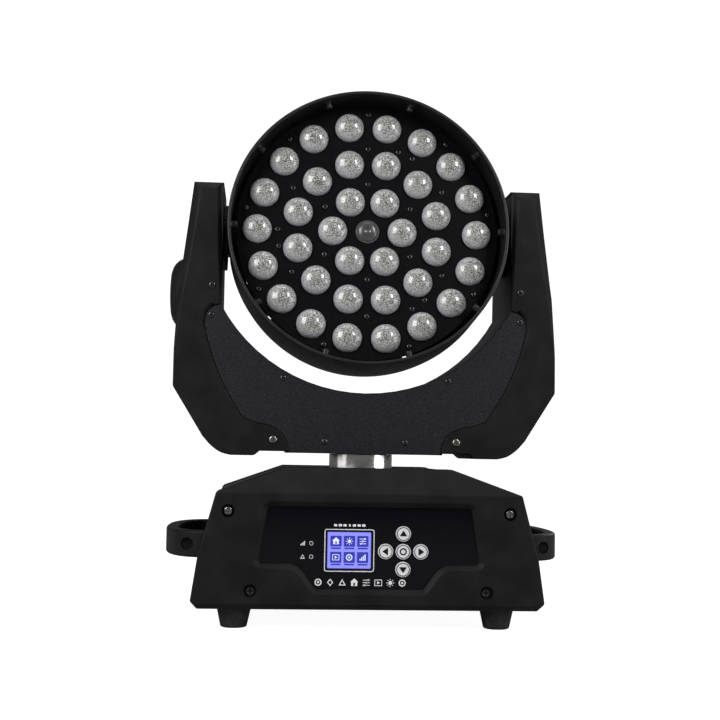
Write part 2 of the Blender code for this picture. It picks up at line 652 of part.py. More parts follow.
def belt(name, plane, large, small, distance, low, high, parent, turn):
    """A flat belt round two wheels, its line turned in its own plane to meet the small one."""
    middle = (low + high) / 2
    lines = []
    for thickness in (BELT_GAP + BELT_THICK, BELT_GAP):
        line = belt_outline(large + thickness, small + thickness, distance)
        c, s = math.cos(math.radians(turn)), math.sin(math.radians(turn))
        lines.append([(u * c - v * s, u * s + v * c) for u, v in line])
    return prism(name, plane, lines[0], middle - BELT_WIDTH / 2, middle + BELT_WIDTH / 2,
                 "rubber", holes=[lines[1]], parent=parent)


def motor_case(name, low, high, parent):
    """The square body of a stepping motor, with its corners cut off."""
    bevel = box(name, low, high, "powder_coat", parent).modifiers.new("corners", "BEVEL")
    bevel.width = MOTOR_CORNER * MM
    bevel.segments = 1


def pan_drive(yoke):
    low, high = PAN_DRIVE_Z
    grooved_wheel("pan_pulley", "Z", PAN_PULLEY_SEAT, NECK_RADIUS + GAP, low, high,
                  (0, 0, 0), None)
    tube("pan_bearing", "Z", PAN_BEARING_RADIUS - GAP, NECK_RADIUS + GAP,
         COLLAR_TOP + GAP, PAN_PLATE_Z[1] + 1.5, "steel", parent=yoke)
    grooved_wheel("pan_pinion", "Z", PAN_PINION_SEAT, 0, low, high,
                  (PAN_MOTOR_X, 0, 0), yoke, solid=True)
    belt("pan_belt", "XY", PAN_PULLEY_SEAT, PAN_PINION_SEAT, PAN_MOTOR_X, low, high, yoke, 0)
    half = PAN_MOTOR_SIDE / 2
    motor_case("pan_motor", (PAN_MOTOR_X - half, -half, PAN_MOTOR_Z[0]),
               (PAN_MOTOR_X + half, half, PAN_MOTOR_Z[1]), yoke)


def tilt_drive(yoke, tilt):
    low, high = -TILT_DRIVE_X[1], -TILT_DRIVE_X[0]
    grooved_wheel("tilt_pulley", "X", TILT_PULLEY_SEAT, HUB_RADIUS + GAP, low, high,
                  (0, 0, 0), tilt)
    drop = TILT_Z - CAP_Z
    drive = empty("tilt_drive_plane", (0, 0, TILT_Z), parent=yoke)
    belt("tilt_belt", "YZ", TILT_PULLEY_SEAT, TILT_PINION_SEAT, drop, low, high, drive, -90)
    grooved_wheel("tilt_pinion", "X", TILT_PINION_SEAT, 0, low, high, (0, 0, CAP_Z), yoke,
                  solid=True)
    half = TILT_MOTOR_SIDE / 2
    motor_case("tilt_motor", (-TILT_MOTOR_X[1], -half, CAP_Z - half),
               (-TILT_MOTOR_X[0], half, CAP_Z + half), yoke)
    for name, side in (("left", -1), ("right", 1)):
        span = sorted(side * x for x in TILT_BEARING_X)
        tube(f"tilt_bearing_{name}", "X", TILT_BEARING_RADIUS, HUB_RADIUS + GAP, *span, "steel",
             parent=yoke, at=(0, 0, TILT_Z), sides=24)


# ================================================================ yoke

def yoke_frame(yoke):
    """The U of sheet metal that carries the head, with its webs and its floor."""
    wall_top = (ARM_INNER_X, ARM_TOP - COVER_WALL - GAP)
    inner = [wall_top] + floor_arc(ARC_RADIUS) + [(-wall_top[0], wall_top[1])]
    outline = ribbon(inner[::-1], -FRAME_SHEET)
    frame = prism("yoke_frame", "XZ", outline, -FRAME_HALF_DEPTH, FRAME_HALF_DEPTH,
                  "powder_coat", parent=yoke)
    depth = FRAME_HALF_DEPTH - 0.5
    floor = box("yoke_floor", (-WEB_X - FRAME_SHEET, -depth, PAN_PLATE_Z[0]),
                (WEB_X + FRAME_SHEET, depth, PAN_PLATE_Z[1]), "powder_coat", yoke)
    join(frame, floor)
    middle = ARC_RADIUS + FRAME_SHEET / 2
    for side in (-1, 1):
        top = ARC_CENTRE_Z - math.sqrt(middle ** 2 - WEB_X ** 2)
        x = sorted((side * WEB_X, side * (WEB_X + FRAME_SHEET)))
        web = box(f"yoke_web_{side}", (x[0], -depth, PAN_PLATE_Z[0] + 1), (x[1], depth, top),
                  "powder_coat", yoke)
        join(frame, web)
    combine(frame, cylinder("yoke_frame_hub_holes", "X", TILT_BEARING_RADIUS + GAP,
                            -HUB_X[1], HUB_X[1],
                            "powder_coat", parent=yoke, at=(0, 0, TILT_Z), sides=32))
    combine(frame, cylinder("yoke_frame_pan_hole", "Z", PAN_BEARING_RADIUS,
                            PAN_PLATE_Z[0] - CUT_SPARE, PAN_PLATE_Z[1] + CUT_SPARE,
                            "powder_coat", parent=yoke, sides=32))


def yoke_plates(yoke):
    half = seam_line()
    top = floor_arc(ARC_RADIUS + 0.3)[1:-1]
    left = [(-x, z) for x, z in reversed(half)]
    outline = half + top + left
    face = YOKE_HALF_DEPTH - PLATE_SHEET
    prism("yoke_front_plate", "XZ", outline, face - PLATE_SHEET, face, "powder_coat", parent=yoke)
    prism("yoke_rear_plate", "XZ", outline, -face, -face + PLATE_SHEET, "powder_coat", parent=yoke)


def chamfer_arm(cover):
    """Chamfer the front and rear edges of an arm along its top and its outer side."""
    work = bmesh.new()
    work.from_mesh(cover.data)

    def chosen(edge):
        ends = [vertex.co / MM for vertex in edge.verts]
        on_face = all(abs(abs(co.z) - YOKE_HALF_DEPTH) < 0.001 for co in ends)
        on_rim = abs(edge.link_faces[0].normal.z - edge.link_faces[1].normal.z) > 0.5
        high = all(co.y > CHAMFER_LOWEST for co in ends)
        outer = any(abs(co.x) > ARM_INNER_X + 1 for co in ends)
        return on_face and on_rim and high and outer

    bmesh.ops.bevel(work, geom=[edge for edge in work.edges if chosen(edge)],
                    offset=COVER_CHAMFER * MM, segments=1, affect="EDGES")
    work.to_mesh(cover.data)
    work.free()


def arm_covers(yoke):
    seam = seam_line()
    for name, side in (("left_arm_cover", -1), ("right_arm_cover", 1)):
        seam_side = [point for point in beside(seam, -SEAM_GAP) if point[1] > COVER_BOTTOM + 1]
        seam_side.insert(0, (seam[0][0] + SEAM_GAP, COVER_BOTTOM))
        seam_side[-1] = (ARM_INNER_X, seam_side[-1][1])
        seam_side.append((ARM_INNER_X, ARM_TOP))
        whole = ARM_OUTER + seam_side
        outline = [(side * x, z) for x, z in whole]
        cover = prism(name, "XZ", outline, -YOKE_HALF_DEPTH, YOKE_HALF_DEPTH, "cover_plastic",
                      parent=yoke)
        chamfer_arm(cover)
        closed = [(ARM_CLOSING_X, COVER_BOTTOM), (ARM_CLOSING_X, ARM_TOP)] + ARM_OUTER
        pocket = [(side * x, z) for x, z in inset(closed[::-1], COVER_WALL)]
        depth = YOKE_HALF_DEPTH - COVER_WALL
        combine(cover, prism(name + "_pocket", "XZ", pocket, -depth, depth, "cover_plastic",
                             parent=yoke))
        if side < 0:
            combine(cover, cylinder(name + "_motor_hole", "X", CAP_HOLE, *CAP_HOLE_X,
                                    "cover_plastic", parent=yoke, at=(0, 0, CAP_Z), sides=32))
    closed = [(ARM_CLOSING_X, COVER_BOTTOM), (ARM_CLOSING_X, ARM_TOP)] + ARM_OUTER
    trim = [(-x, z) for x, z in inset(closed[::-1], -GAP)]
    cap = None
    for name, radius, face in (("motor_cap", CAP_RADIUS, CAP_X),
                               ("motor_cap_inside", CAP_RADIUS - CAP_WALL, CAP_X - CAP_WALL)):
        profile = [(0, -CAP_ROOT_X), (radius, -CAP_ROOT_X), (radius - CAP_EDGE_IN, -CAP_EDGE_X),
                   (radius - CAP_FACE_IN, -face), (0, -face)]
        drum = turned(name, "X", profile, "cover_plastic", parent=yoke, at=(0, 0, CAP_Z),
                      closed=False, sides=24)
        if cap is None:
            cap = drum
        else:
            combine(cap, drum)
    combine(cap, prism("motor_cap_trim", "XZ", trim, -YOKE_HALF_DEPTH, YOKE_HALF_DEPTH,
                       "cover_plastic", parent=yoke))


def driver_board(yoke):
    box("driver_board", *DRIVER_BOARD, "circuit_board", yoke)


# ================================================================ head

def head_shells(tilt):
    outer, inner = RING_RADIUS, RING_RADIUS - RING_WALL
    profile = [(outer - 1.4, RING_FRONT), (outer, RING_FRONT - 1.4), (outer, RING_BACK),
               (inner, RING_BACK), (inner, RING_FRONT - 1.0), (inner + 0.8, RING_FRONT)]
    ring = turned("front_ring", "Y", profile, "cover_plastic", parent=tilt, sides=ROUND)
    for k in range(PEG_COUNT):
        turn = Matrix.Rotation(math.radians(-360 / PEG_COUNT * k), 4, "Y")
        peg = cylinder(f"ring_peg_{k}", "X", PEG_RADIUS, PEG_INNER, outer - 1.5,
                       "cover_plastic", parent=tilt, sides=6)
        peg.matrix_basis = turn @ Matrix.Translation((0, -PEG_FORWARD * MM, 0)) @ AXES["X"]
        join(ring, peg)
    rear = HOUSING[-1][1]
    inside = [(r - HOUSING_WALL, d) for r, d in HOUSING[:-1]]
    inside.append((HOUSING[-1][0] - HOUSING_WALL * 0.6, rear + HOUSING_WALL))
    profile = (HOUSING + [(GRILLE_RADIUS + GAP, rear), (GRILLE_RADIUS + GAP, rear + HOUSING_WALL)]
               + inside[::-1])
    housing = turned("rear_housing", "Y", profile, "cover_plastic", parent=tilt, sides=36)
    for side in (-1, 1):
        for shell in (ring, housing):
            span = sorted(side * x for x in HUB_NOTCH_X)
            hole = cylinder(f"{shell.name}_hub_{side}", "X", HUB_NOTCH, *span, "cover_plastic",
                            parent=tilt, sides=24)
            combine(shell, hole)
    slots = []
    reach = GRILLE_SLOT_HALF_WIDTH
    for radius, count in GRILLE_SLOTS:
        for k in range(count):
            middle = 360 / count * k
            width = 360 / count / 2 - GRILLE_RIB
            slots.append(arc((0, 0), radius + reach, middle - width, middle + width, 3)
                         + arc((0, 0), radius - reach, middle + width, middle - width, 3))
    prism("rear_grille", "XZ", circle(GRILLE_RADIUS, MIDDLE_ROUND), *GRILLE_SPAN, "powder_coat",
          holes=slots, parent=tilt)


def lens_places():
    return [polar(radius, first + 360 / count * k)
            for radius, count, first in LENS_RINGS for k in range(count)]


def zoom_places():
    return [polar(ZOOM_RADIUS, angle) for angle in ZOOM_ANGLES]


def lens_carriage(tilt):
    holes = [circle(LENS_RADIUS + GAP, LENS_ROUND, place) for place in lens_places()]
    holes.append(circle(CENTRE_LENS_RADIUS + GAP, LENS_ROUND))
    plate = prism("lens_plate", "XZ", circle(PLATE_RADIUS, ROUND), PLATE_FRONT - PLATE_THICK,
                  PLATE_FRONT, "powder_coat", holes=holes, parent=tilt)
    for k, (x, z) in enumerate(zoom_places()):
        sleeve = cylinder(f"zoom_sleeve_{k}", "Y", ZOOM_SLEEVE_RADIUS, ZOOM_SLEEVE_BACK,
                          PLATE_FRONT - 1.0, "powder_coat", parent=tilt, at=(x, 0, z), sides=12)
        join(plate, sleeve)
    for k, (x, z) in enumerate(zoom_places()):
        bore = cylinder(f"zoom_bore_{k}", "Y", ZOOM_SCREW_RADIUS + GAP, ZOOM_SLEEVE_BACK - 1,
                        PLATE_FRONT - PLATE_THICK, "powder_coat", parent=tilt, at=(x, 0, z),
                        sides=12)
        combine(plate, bore)

    sleeves = [circle(ZOOM_SLEEVE_RADIUS + 1.0, LENS_ROUND, place) for place in zoom_places()]
    array = prism("lens_array", "XZ", circle(WEB_RADIUS, MIDDLE_ROUND), WEB_FRONT - WEB_THICK,
                  WEB_FRONT, "lens", holes=sleeves, parent=tilt)
    domes = [(place, LENS_RADIUS, LENS_HEIGHT) for place in lens_places()]
    domes.append(((0.0, 0.0), CENTRE_LENS_RADIUS, CENTRE_LENS_HEIGHT))
    add_domes(array, domes, tilt)


def add_domes(array, domes, tilt):
    """Raise the lens domes from the web, as one tool so that they are joined at once."""
    mesh = bpy.data.meshes.new("lens_domes")
    work = bmesh.new()
    for (x, z), radius, height in domes:
        rim = PLATE_FRONT + LENS_STEP
        levels = [(WEB_FRONT - 1.0, radius), (rim, radius)]
        levels.append((rim + height * math.sin(DOME_LEVEL), radius * math.cos(DOME_LEVEL)))
        rings = []
        for depth, size in levels:
            rings.append([work.verts.new((u * MM, v * MM, depth * MM))
                          for u, v in circle(size, LENS_ROUND, (x, z))])
        for lower, upper in zip(rings, rings[1:]):
            for k in range(LENS_ROUND):
                following = (k + 1) % LENS_ROUND
                work.faces.new((lower[k], lower[following], upper[following], upper[k]))
        work.faces.new(rings[0][::-1])
        tip = work.verts.new((x * MM, z * MM, (rim + height) * MM))
        for k in range(LENS_ROUND):
            work.faces.new((rings[-1][k], rings[-1][(k + 1) % LENS_ROUND], tip))
    work.to_mesh(mesh)
    work.free()
    join(array, add("lens_domes", mesh, "lens", tilt, TURNS["XZ"]))


def light_engine(tilt):
    holes = [circle(ZOOM_SLEEVE_RADIUS + 1.5, LENS_ROUND, place) for place in zoom_places()]
    disc = circle(BOARD_RADIUS, MIDDLE_ROUND)
    prism("led_board", "XZ", disc, BOARD_FRONT - BOARD_THICK, BOARD_FRONT, "circuit_board",
          holes=holes, parent=tilt)
    sink = prism("heat_sink", "XZ", disc, SINK_BACK, SINK_FRONT, "aluminium", holes=holes,
                 parent=tilt)
    width = FIN_PITCH * (FIN_COUNT - 1) / 2
    comb = []
    for k in range(FIN_COUNT):
        x = -width + FIN_PITCH * k
        comb += [(x - FIN_THICK / 2, -SINK_BACK), (x - FIN_THICK / 2, -FIN_BACK),
                 (x + FIN_THICK / 2, -FIN_BACK), (x + FIN_THICK / 2, -SINK_BACK)]
    comb += [(width + FIN_THICK / 2, -SINK_BACK - 2), (-width - FIN_THICK / 2, -SINK_BACK - 2)]
    join(sink, prism("heat_sink_fins", "XY", comb, -FIN_HALF_LENGTH, FIN_HALF_LENGTH, "aluminium",
                     parent=tilt))


def zoom_drive(tilt):
    for k, (x, z) in enumerate(zoom_places(), start=1):
        cylinder(f"zoom_motor_{k}", "Y", ZOOM_MOTOR_RADIUS, *ZOOM_MOTOR_SPAN, "steel",
                 parent=tilt, at=(x, 0, z))
        cylinder(f"zoom_screw_{k}", "Y", ZOOM_SCREW_RADIUS, *ZOOM_SCREW_SPAN, "steel",
                 parent=tilt, at=(x, 0, z), sides=12)


def head_frame(tilt):
    inner, outer = FRAME_SIDE_X
    front, back, sheet = -SINK_FRONT, -FRAME_BACK, FRAME_SHEET
    strap = [(-outer, front), (-inner, front), (-inner, back - sheet), (inner, back - sheet),
             (inner, front), (outer, front), (outer, back), (-outer, back)]
    frame = prism("head_frame", "XY", strap, -FRAME_HALF_HEIGHT, FRAME_HALF_HEIGHT,
                  "powder_coat", parent=tilt)
    combine(frame, cylinder("head_frame_air_hole", "Y", AIR_HOLE_RADIUS, *AIR_HOLE_SPAN,
                            "powder_coat", parent=tilt, sides=24))
    combine(frame, cylinder("head_frame_cable_holes", "X", HUB_BORE, -HUB_X[0], HUB_X[0], "powder_coat",
                            parent=tilt, sides=16))
    for name, side in (("left", -1), ("right", 1)):
        first, last = HUB_X if side < 0 else (HUB_X[0], HUB_X[1] - RIGHT_HUB_SHORTER)
        flange = HUB_FLANGE_X
        profile = [(HUB_RADIUS, last), (HUB_RADIUS, flange[1]), (HUB_FLANGE_RADIUS, flange[1]),
                   (HUB_FLANGE_RADIUS, flange[0]), (HUB_RADIUS, flange[0]), (HUB_RADIUS, first),
                   (HUB_BORE, first), (HUB_BORE, last)]
        if side < 0:
            profile = [(radius, -x) for radius, x in reversed(profile)]
        turned(f"tilt_hub_{name}", "X", profile, "powder_coat", parent=tilt, sides=24)


def fan(tilt):
    low, high = FAN_SPAN
    frame = prism("head_fan_frame", "XZ", rectangle(FAN_SIDE, FAN_SIDE), low, high,
                  "cover_plastic", holes=[circle(FAN_HOLE, MIDDLE_ROUND)], parent=tilt)
    spokes = []
    for k in range(FAN_SPOKES):
        spoke = box(f"fan_spoke_{k}", (-SPOKE_WIDTH / 2, -low - SPOKE_THICK, FAN_CUP - SPOKE_LAP),
                    (SPOKE_WIDTH / 2, -low, FAN_HOLE + 1), "cover_plastic", tilt)
        turn = math.radians(45 + 360 / FAN_SPOKES * k)
        spoke.matrix_basis = Matrix.Rotation(turn, 4, "Y") @ spoke.matrix_basis
        spokes.append(spoke)
    cup = cylinder("fan_cup", "Y", FAN_CUP, low, low + SPOKE_THICK, "cover_plastic", parent=tilt)
    for tool in (cup, *spokes):
        join(frame, tool)
    blades = []
    for k in range(FAN_BLADES):
        middle = 360 / FAN_BLADES * k
        blades += arc((0, 0), BLADE_ROOT, middle - BLADE_SWEEP[0], middle - BLADE_SWEEP[1], 2)
        blades += [polar(BLADE_TIP, middle - BLADE_TIP_HALF), polar(BLADE_TIP, middle + BLADE_TIP_HALF)]
    prism("head_fan_rotor", "XZ", blades, low + ROTOR_INSET[0],
          high - ROTOR_INSET[1], "cover_plastic", parent=tilt)


# ================================================================ assembly

def main():
    yoke = empty("pan_axis", (0, 0, 0))
    tilt = empty("tilt_axis", (0, 0, TILT_Z), tilt=-REST_TILT, parent=yoke)
    base_covers()
    control_panel()
    rear_connections()
    handles()
    feet()
    base_insides()
    pan_drive(yoke)
    tilt_drive(yoke, tilt)
    yoke_frame(yoke)
    yoke_plates(yoke)
    arm_covers(yoke)
    driver_board(yoke)
    head_shells(tilt)
    lens_carriage(tilt)
    light_engine(tilt)
    zoom_drive(tilt)
    head_frame(tilt)
    fan(tilt)


main()
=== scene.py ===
"""Moving head light: the finished look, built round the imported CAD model.

Lengths are in millimetres until a mesh is made. +X is the object's left-to-right, -Y its
front and +Z up. Depths are measured towards the front. The feet stand on z = 0.
"""

import math

import bmesh
import bpy
from mathutils import Matrix, Vector


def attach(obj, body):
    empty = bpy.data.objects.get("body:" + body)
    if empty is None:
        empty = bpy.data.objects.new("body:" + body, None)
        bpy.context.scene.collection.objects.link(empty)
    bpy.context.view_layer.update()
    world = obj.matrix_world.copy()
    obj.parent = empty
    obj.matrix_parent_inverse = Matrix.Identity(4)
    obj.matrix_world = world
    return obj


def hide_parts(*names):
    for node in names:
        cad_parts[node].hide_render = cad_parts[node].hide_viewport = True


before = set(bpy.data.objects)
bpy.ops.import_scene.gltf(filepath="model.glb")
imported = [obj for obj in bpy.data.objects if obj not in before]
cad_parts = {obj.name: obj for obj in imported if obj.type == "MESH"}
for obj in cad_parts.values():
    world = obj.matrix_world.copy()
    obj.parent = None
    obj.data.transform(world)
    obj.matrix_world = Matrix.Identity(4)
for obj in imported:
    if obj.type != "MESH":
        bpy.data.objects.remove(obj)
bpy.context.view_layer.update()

MM = 0.001
SIDES = (("left", -1), ("right", 1))
TILT_Z = 350.0
REST_TILT = 6.11                # degrees that the beam points above level at rest
HEAD = Matrix.Translation((0, 0, TILT_Z)) @ Matrix.Rotation(math.radians(-REST_TILT), 4, "X")

# -------- base
BASE_BOTTOM, BASE_TOP, SHOULDER_Z = 17.6, 136.8, 115.5
BASE_HALF = [(144.4, BASE_BOTTOM), (150.0, 24.5), (144.8, 61.0), (130.4, SHOULDER_Z),
             (71.6, BASE_TOP)]
BASE_FACE, BEZEL_BACK, BEZEL_INSIDE = 120.0, 75.0, 114.0
BEZEL_WALL, BEZEL_ROUND, OPENING_CHAMFER = 3.0, 1.6, 4.6
FACE_SLOPE_BACK, FACE_CHAMFER = 14.0, 5.0
COVER_INSET, COVER_SHEET, COVER_GAP, COLLAR_CLEARANCE = 0.8, 1.5, 0.3, 3.0
COVER_SLOTS, COVER_SLOT, COVER_SLOT_PITCH, COVER_SLOT_Z = 9, (4.0, 44.0), 11.0, 62.0
BEZEL_SCREWS = [(119.8, 99.7), (100.0, 33.1)]
BEZEL_SCREW_RADIUS, BEZEL_SCREW_FLOOR = 5.75, 115.4
FOOT_X, FOOT_Y, FOOT_TOP = 113.6, 90.0, 17.3

PANEL_FACE, PANEL_BACK = 113.7, 111.7
PANEL_HALF_WIDTH, PANEL_Z = 100.0, (30.0, 109.0)
LCD_X, LCD_Z, LCD_WINDOW = -17.0, 67.5, (36.6, 30.2)
LCD_FACE = 113.2
KEY_RADIUS, KEY_PITCH, KEY_X, KEY_Z, KEY_FACE = 6.5, 15.0, 28.8, 67.0, 115.3
KEY_RING, KEY_GROOVE = (3.1, 1.9), (5.75, 5.05)     # outer and inner radii
KEY_INK_DEPTH = 0.1             # of a mark below its key's face
TILE, TILE_LABEL, TILE_PITCH, TILE_INK = (9.6, 9.2), (8.4, 1.4), (11.4, 13.6), 0.06
PRINT_INK, FRAME_SIZE, FRAME_LINE = 0.05, (42.4, 35.8), 0.7
KEYS = {"up": (0, 1), "down": (0, -1), "left": (-1, 0), "right": (1, 0), "ok": (0, 0)}

HANDLE_ROOT_X, HANDLE_REACH, HANDLE_HALF_LENGTH = 138.0, 39.9, 95.0
HANDLE_SQUARENESS = 2.5         # exponent of its rounded plan: 2 would be an ellipse
HANDLE_Z, HANDLE_BAR = (58.5, 81.5), 11.0
HANDLE_STEPS, HANDLE_TAIL = 48, 12.0        # round its bend; into the base before it is trimmed
HANDLE_HOLE_X, HANDLE_HOLE_RADIUS, HANDLE_HOLE_FLOOR = 155.0, 5.4, 84.0

# -------- yoke
YOKE_HALF_DEPTH, PLATE_DEPTHS = 50.0, (47.0, 48.5)
ARM_TOP, ARM_INNER_X, COVER_BOTTOM, ARM_WALL = 394.3, 132.6, 150.3, 4.2
ARC_CENTRE_Z, ARC_RADIUS = 355.5, 151.5
PLATE_BOTTOM, SEAM_GAP = 149.0, 0.4
SEAM_BACKING_WIDTH, SEAM_BACKING_DEPTHS = 4.0, (45.0, 46.7)
PLATE_SCREWS = [(141.0, 272.0), (75.0, 216.5), (36.5, 159.7)]
HIGH_SCREW, LOW_SCREW = (140.8, 299.0), (83.0, 160.6)
CAP_Z, CAP_RADIUS = 296.0, 35.5
COLLAR_RADIUS, COLLAR_TOP, NECK_RADIUS, NECK_TOP, SHAFT_BORE = 29.5, 148.9, 22.5, 172.0, 17.0
SHAFT_FLANGE = (48.0, 131.2, 134.2)

# -------- head
RING_RADIUS, RING_WALL, RING_FRONT, RING_BACK = 128.5, 3.0, 59.6, -3.7
HUB_NOTCH, HUB_NOTCH_X = 22.0, (90.0, 140.0)
HUB_RADIUS, HUB_BORE, HUB_ROOT_X, HUB_LEFT_X, HUB_RIGHT_X = 18.0, 12.0, 111.8, 150.0, 142.0
HUB_FLANGE_X, HUB_TEETH, HUB_CORNERS = (129.0, 131.6), (30.5, 29.4), 192
PEG_COUNT, PEG_RADIUS, PEG_INNER, PEG_FORWARD = 10, 3.2, 119.5, 48.5
PLATE_RADIUS, PLATE_FRONT, PLATE_THICK = 121.0, 36.0, 2.0
LENS_RADIUS, LENS_HEIGHT, LENS_BACK, LENS_RIM = 13.5, 8.5, 29.0, 36.5
LENS_RINGS = [(32.2, 6, 0.0), (66.4, 12, 15.0), (101.7, 18, 0.0)]   # radius, count, first angle
HOUSING = [(127.5, -4.1), (126.5, -20.0), (120.0, -45.0), (105.0, -70.0), (85.0, -88.0)]
HOUSING_WALL, COOLING_SLOTS = 2.5, 36
COOLING_SLOT, COOLING_SLOT_DEPTH = (24.0, 4.4), 57.0
LENS_PLATE_SCREWS = [(45.7, range(30, 390, 60)), (80.0, range(30, 390, 60)),
                     (83.0, (60, 70, 180, 191, 300, 310)), (114.0, range(10, 370, 40))]
GRILLE_RADIUS, GRILLE_SPAN = 60.0, (-88.0, -85.5)
GRILLE_RINGS = [(14.0, 4), (22.0, 6), (30.0, 8), (38.0, 8), (46.0, 8), (54.0, 8)]  # radius, slots
FAN_BLADES, BLADE_RADII = 7, (14.5, 20.0, 26.0, 32.0, 36.2)
BLADE_BACK, BLADE_RISE, BLADE_BOW = -42.3, 11.6, 1.6
ZOOM_RADIUS, ZOOM_ANGLES, ZOOM_SLEEVE_RADIUS = 84.0, (64.0, 183.0, 305.0), 4.5


# ======== outlines

def mirrored(half):
    """A half outline for x > 0, run bottom to top, made whole by its mirror image."""
    return half + [(-x, z) for x, z in reversed(half)]


def circle(radius, sides=48, centre=(0.0, 0.0)):
    step = 2 * math.pi / sides
    return [(centre[0] + radius * math.cos(step * k), centre[1] + radius * math.sin(step * k))
            for k in range(sides)]


def arc(centre, radius, first, last, steps):
    """Points round an arc from one angle to another, in degrees."""
    angles = [math.radians(first + (last - first) * k / steps) for k in range(steps + 1)]
    return [(centre[0] + radius * math.cos(a), centre[1] + radius * math.sin(a)) for a in angles]


def polar(radius, degrees):
    return (radius * math.cos(math.radians(degrees)), radius * math.sin(math.radians(degrees)))


def rectangle(width, height, centre=(0.0, 0.0), corner=0.0):
    u, v = centre
    corners = [(u - width / 2, v - height / 2), (u + width / 2, v - height / 2),
               (u + width / 2, v + height / 2), (u - width / 2, v + height / 2)]
    return fillet(corners, corner) if corner else corners


def smooth(points, steps=6):
    """A Catmull-Rom curve through the points."""
    ends = [points[0], *points, points[-1]]
    curve = []
    for a, b, c, d in zip(ends, ends[1:], ends[2:], ends[3:]):
        for k in range(steps):
            t = k / steps
            curve.append(tuple(
                0.5 * (2 * q + (r - p) * t + (2 * p - 5 * q + 4 * r - s) * t ** 2
                       + (3 * q - p - 3 * r + s) * t ** 3)
                for p, q, r, s in zip(a, b, c, d)))
    curve.append(points[-1])
    return curve


def fillet(points, radius, closed=True, steps=5, least=12.0):
    """Round the corners that turn by more than a few degrees; radius may be one per corner."""
    count = len(points)
    result = []
    for k, here in enumerate(points):
        size = radius[k] if isinstance(radius, (list, tuple)) else radius
        ends = not closed and k in (0, count - 1)
        before, after = Vector(points[k - 1]), Vector(points[(k + 1) % count])
        corner = Vector(here)
        into, out = corner - before, after - corner
        turn = 0.0 if ends or not into.length or not out.length else abs(into.angle_signed(out))
        if math.degrees(turn) < least or size <= 0:
            result.append(tuple(here))
            continue
        reach = min(size * math.tan(turn / 2), 0.45 * into.length, 0.45 * out.length)
        start, end = corner - into.normalized() * reach, corner + out.normalized() * reach
        for step in range(steps + 1):
            t = step / steps
            point = start * (1 - t) ** 2 + corner * 2 * t * (1 - t) + end * t ** 2
            result.append((point.x, point.y))
    return result


def offset_line(a, b, distance):
    """The line from a to b moved to its left: where it starts, and its direction."""
    dx, dy = b[0] - a[0], b[1] - a[1]
    length = math.hypot(dx, dy)
    start = (a[0] - dy / length * distance, a[1] + dx / length * distance)
    return start, (dx / length, dy / length)


def crossing(a, b, c, distance):
    """Where the lines a-b and b-c meet once both are moved to their left."""
    (ax, ay), (adx, ady) = offset_line(a, b, distance)
    (bx, by), (bdx, bdy) = offset_line(b, c, distance)
    cross = adx * bdy - ady * bdx
    if abs(cross) < 1e-6:
        return (bx, by)
    t = ((bx - ax) * bdy - (by - ay) * bdx) / cross
    return (ax + adx * t, ay + ady * t)


def inset(outline, distance):
    """A counter-clockwise outline moved inwards, by one distance or by one per corner."""
    count = len(outline)
    moved = []
    for k, here in enumerate(outline):
        amount = distance[k] if isinstance(distance, (list, tuple)) else distance
        x, y = crossing(outline[k - 1], here, outline[(k + 1) % count], 1.0)
        moved.append((here[0] + (x - here[0]) * amount, here[1] + (y - here[1]) * amount))
    return moved


def beside(points, distance):
    """An open line moved to its left, or to its right for a negative distance."""
    moved = [offset_line(points[0], points[1], distance)[0]]
    moved += [crossing(a, b, c, distance) for a, b, c in zip(points, points[1:], points[2:])]
    last, along = offset_line(points[-2], points[-1], distance)
    length = math.dist(points[-2], points[-1])
    return moved + [(last[0] + along[0] * length, last[1] + along[1] * length)]


def sided(outline, side):
    """An outline drawn for x > 0, put on either side and still run the same way round."""
    return list(outline) if side > 0 else [(-x, z) for x, z in outline][::-1]


def ribbon(points, thickness):
    """An open line given thickness on its left side, as a closed outline."""
    return list(points) + beside(points, thickness)[::-1]


def rounding(edge, depth, sign=1, steps=4):
    """(inset, depth) levels round an edge, from the side to the face."""
    turns = [math.pi / 2 * k / steps for k in range(steps + 1)]
    return [(edge * (1 - math.cos(a)), depth - sign * edge * (1 - math.sin(a))) for a in turns]


def finer(points, spacing):
    """An open line with extra points along its straight runs."""
    line = []
    for a, b in zip(points, points[1:]):
        steps = max(1, round(math.dist(a, b) / spacing))
        line += [(a[0] + (b[0] - a[0]) * k / steps, a[1] + (b[1] - a[1]) * k / steps)
                 for k in range(steps)]
    return line + [points[-1]]


BASE_OUTLINE = fillet(mirrored(BASE_HALF), [1.5, 2.0, 0, 2.5, 4.0, 4.0, 2.5, 0, 2.0, 1.5])


# ======== meshes

# Turns that carry an outline drawn in (u, v), and a depth, into place.
PLANES = {
    "XY": Matrix(((1, 0, 0), (0, 1, 0), (0, 0, 1))),
    "XZ": Matrix(((1, 0, 0), (0, 0, -1), (0, 1, 0))),
    "YZ": Matrix(((0, 0, 1), (1, 0, 0), (0, 1, 0))),
}


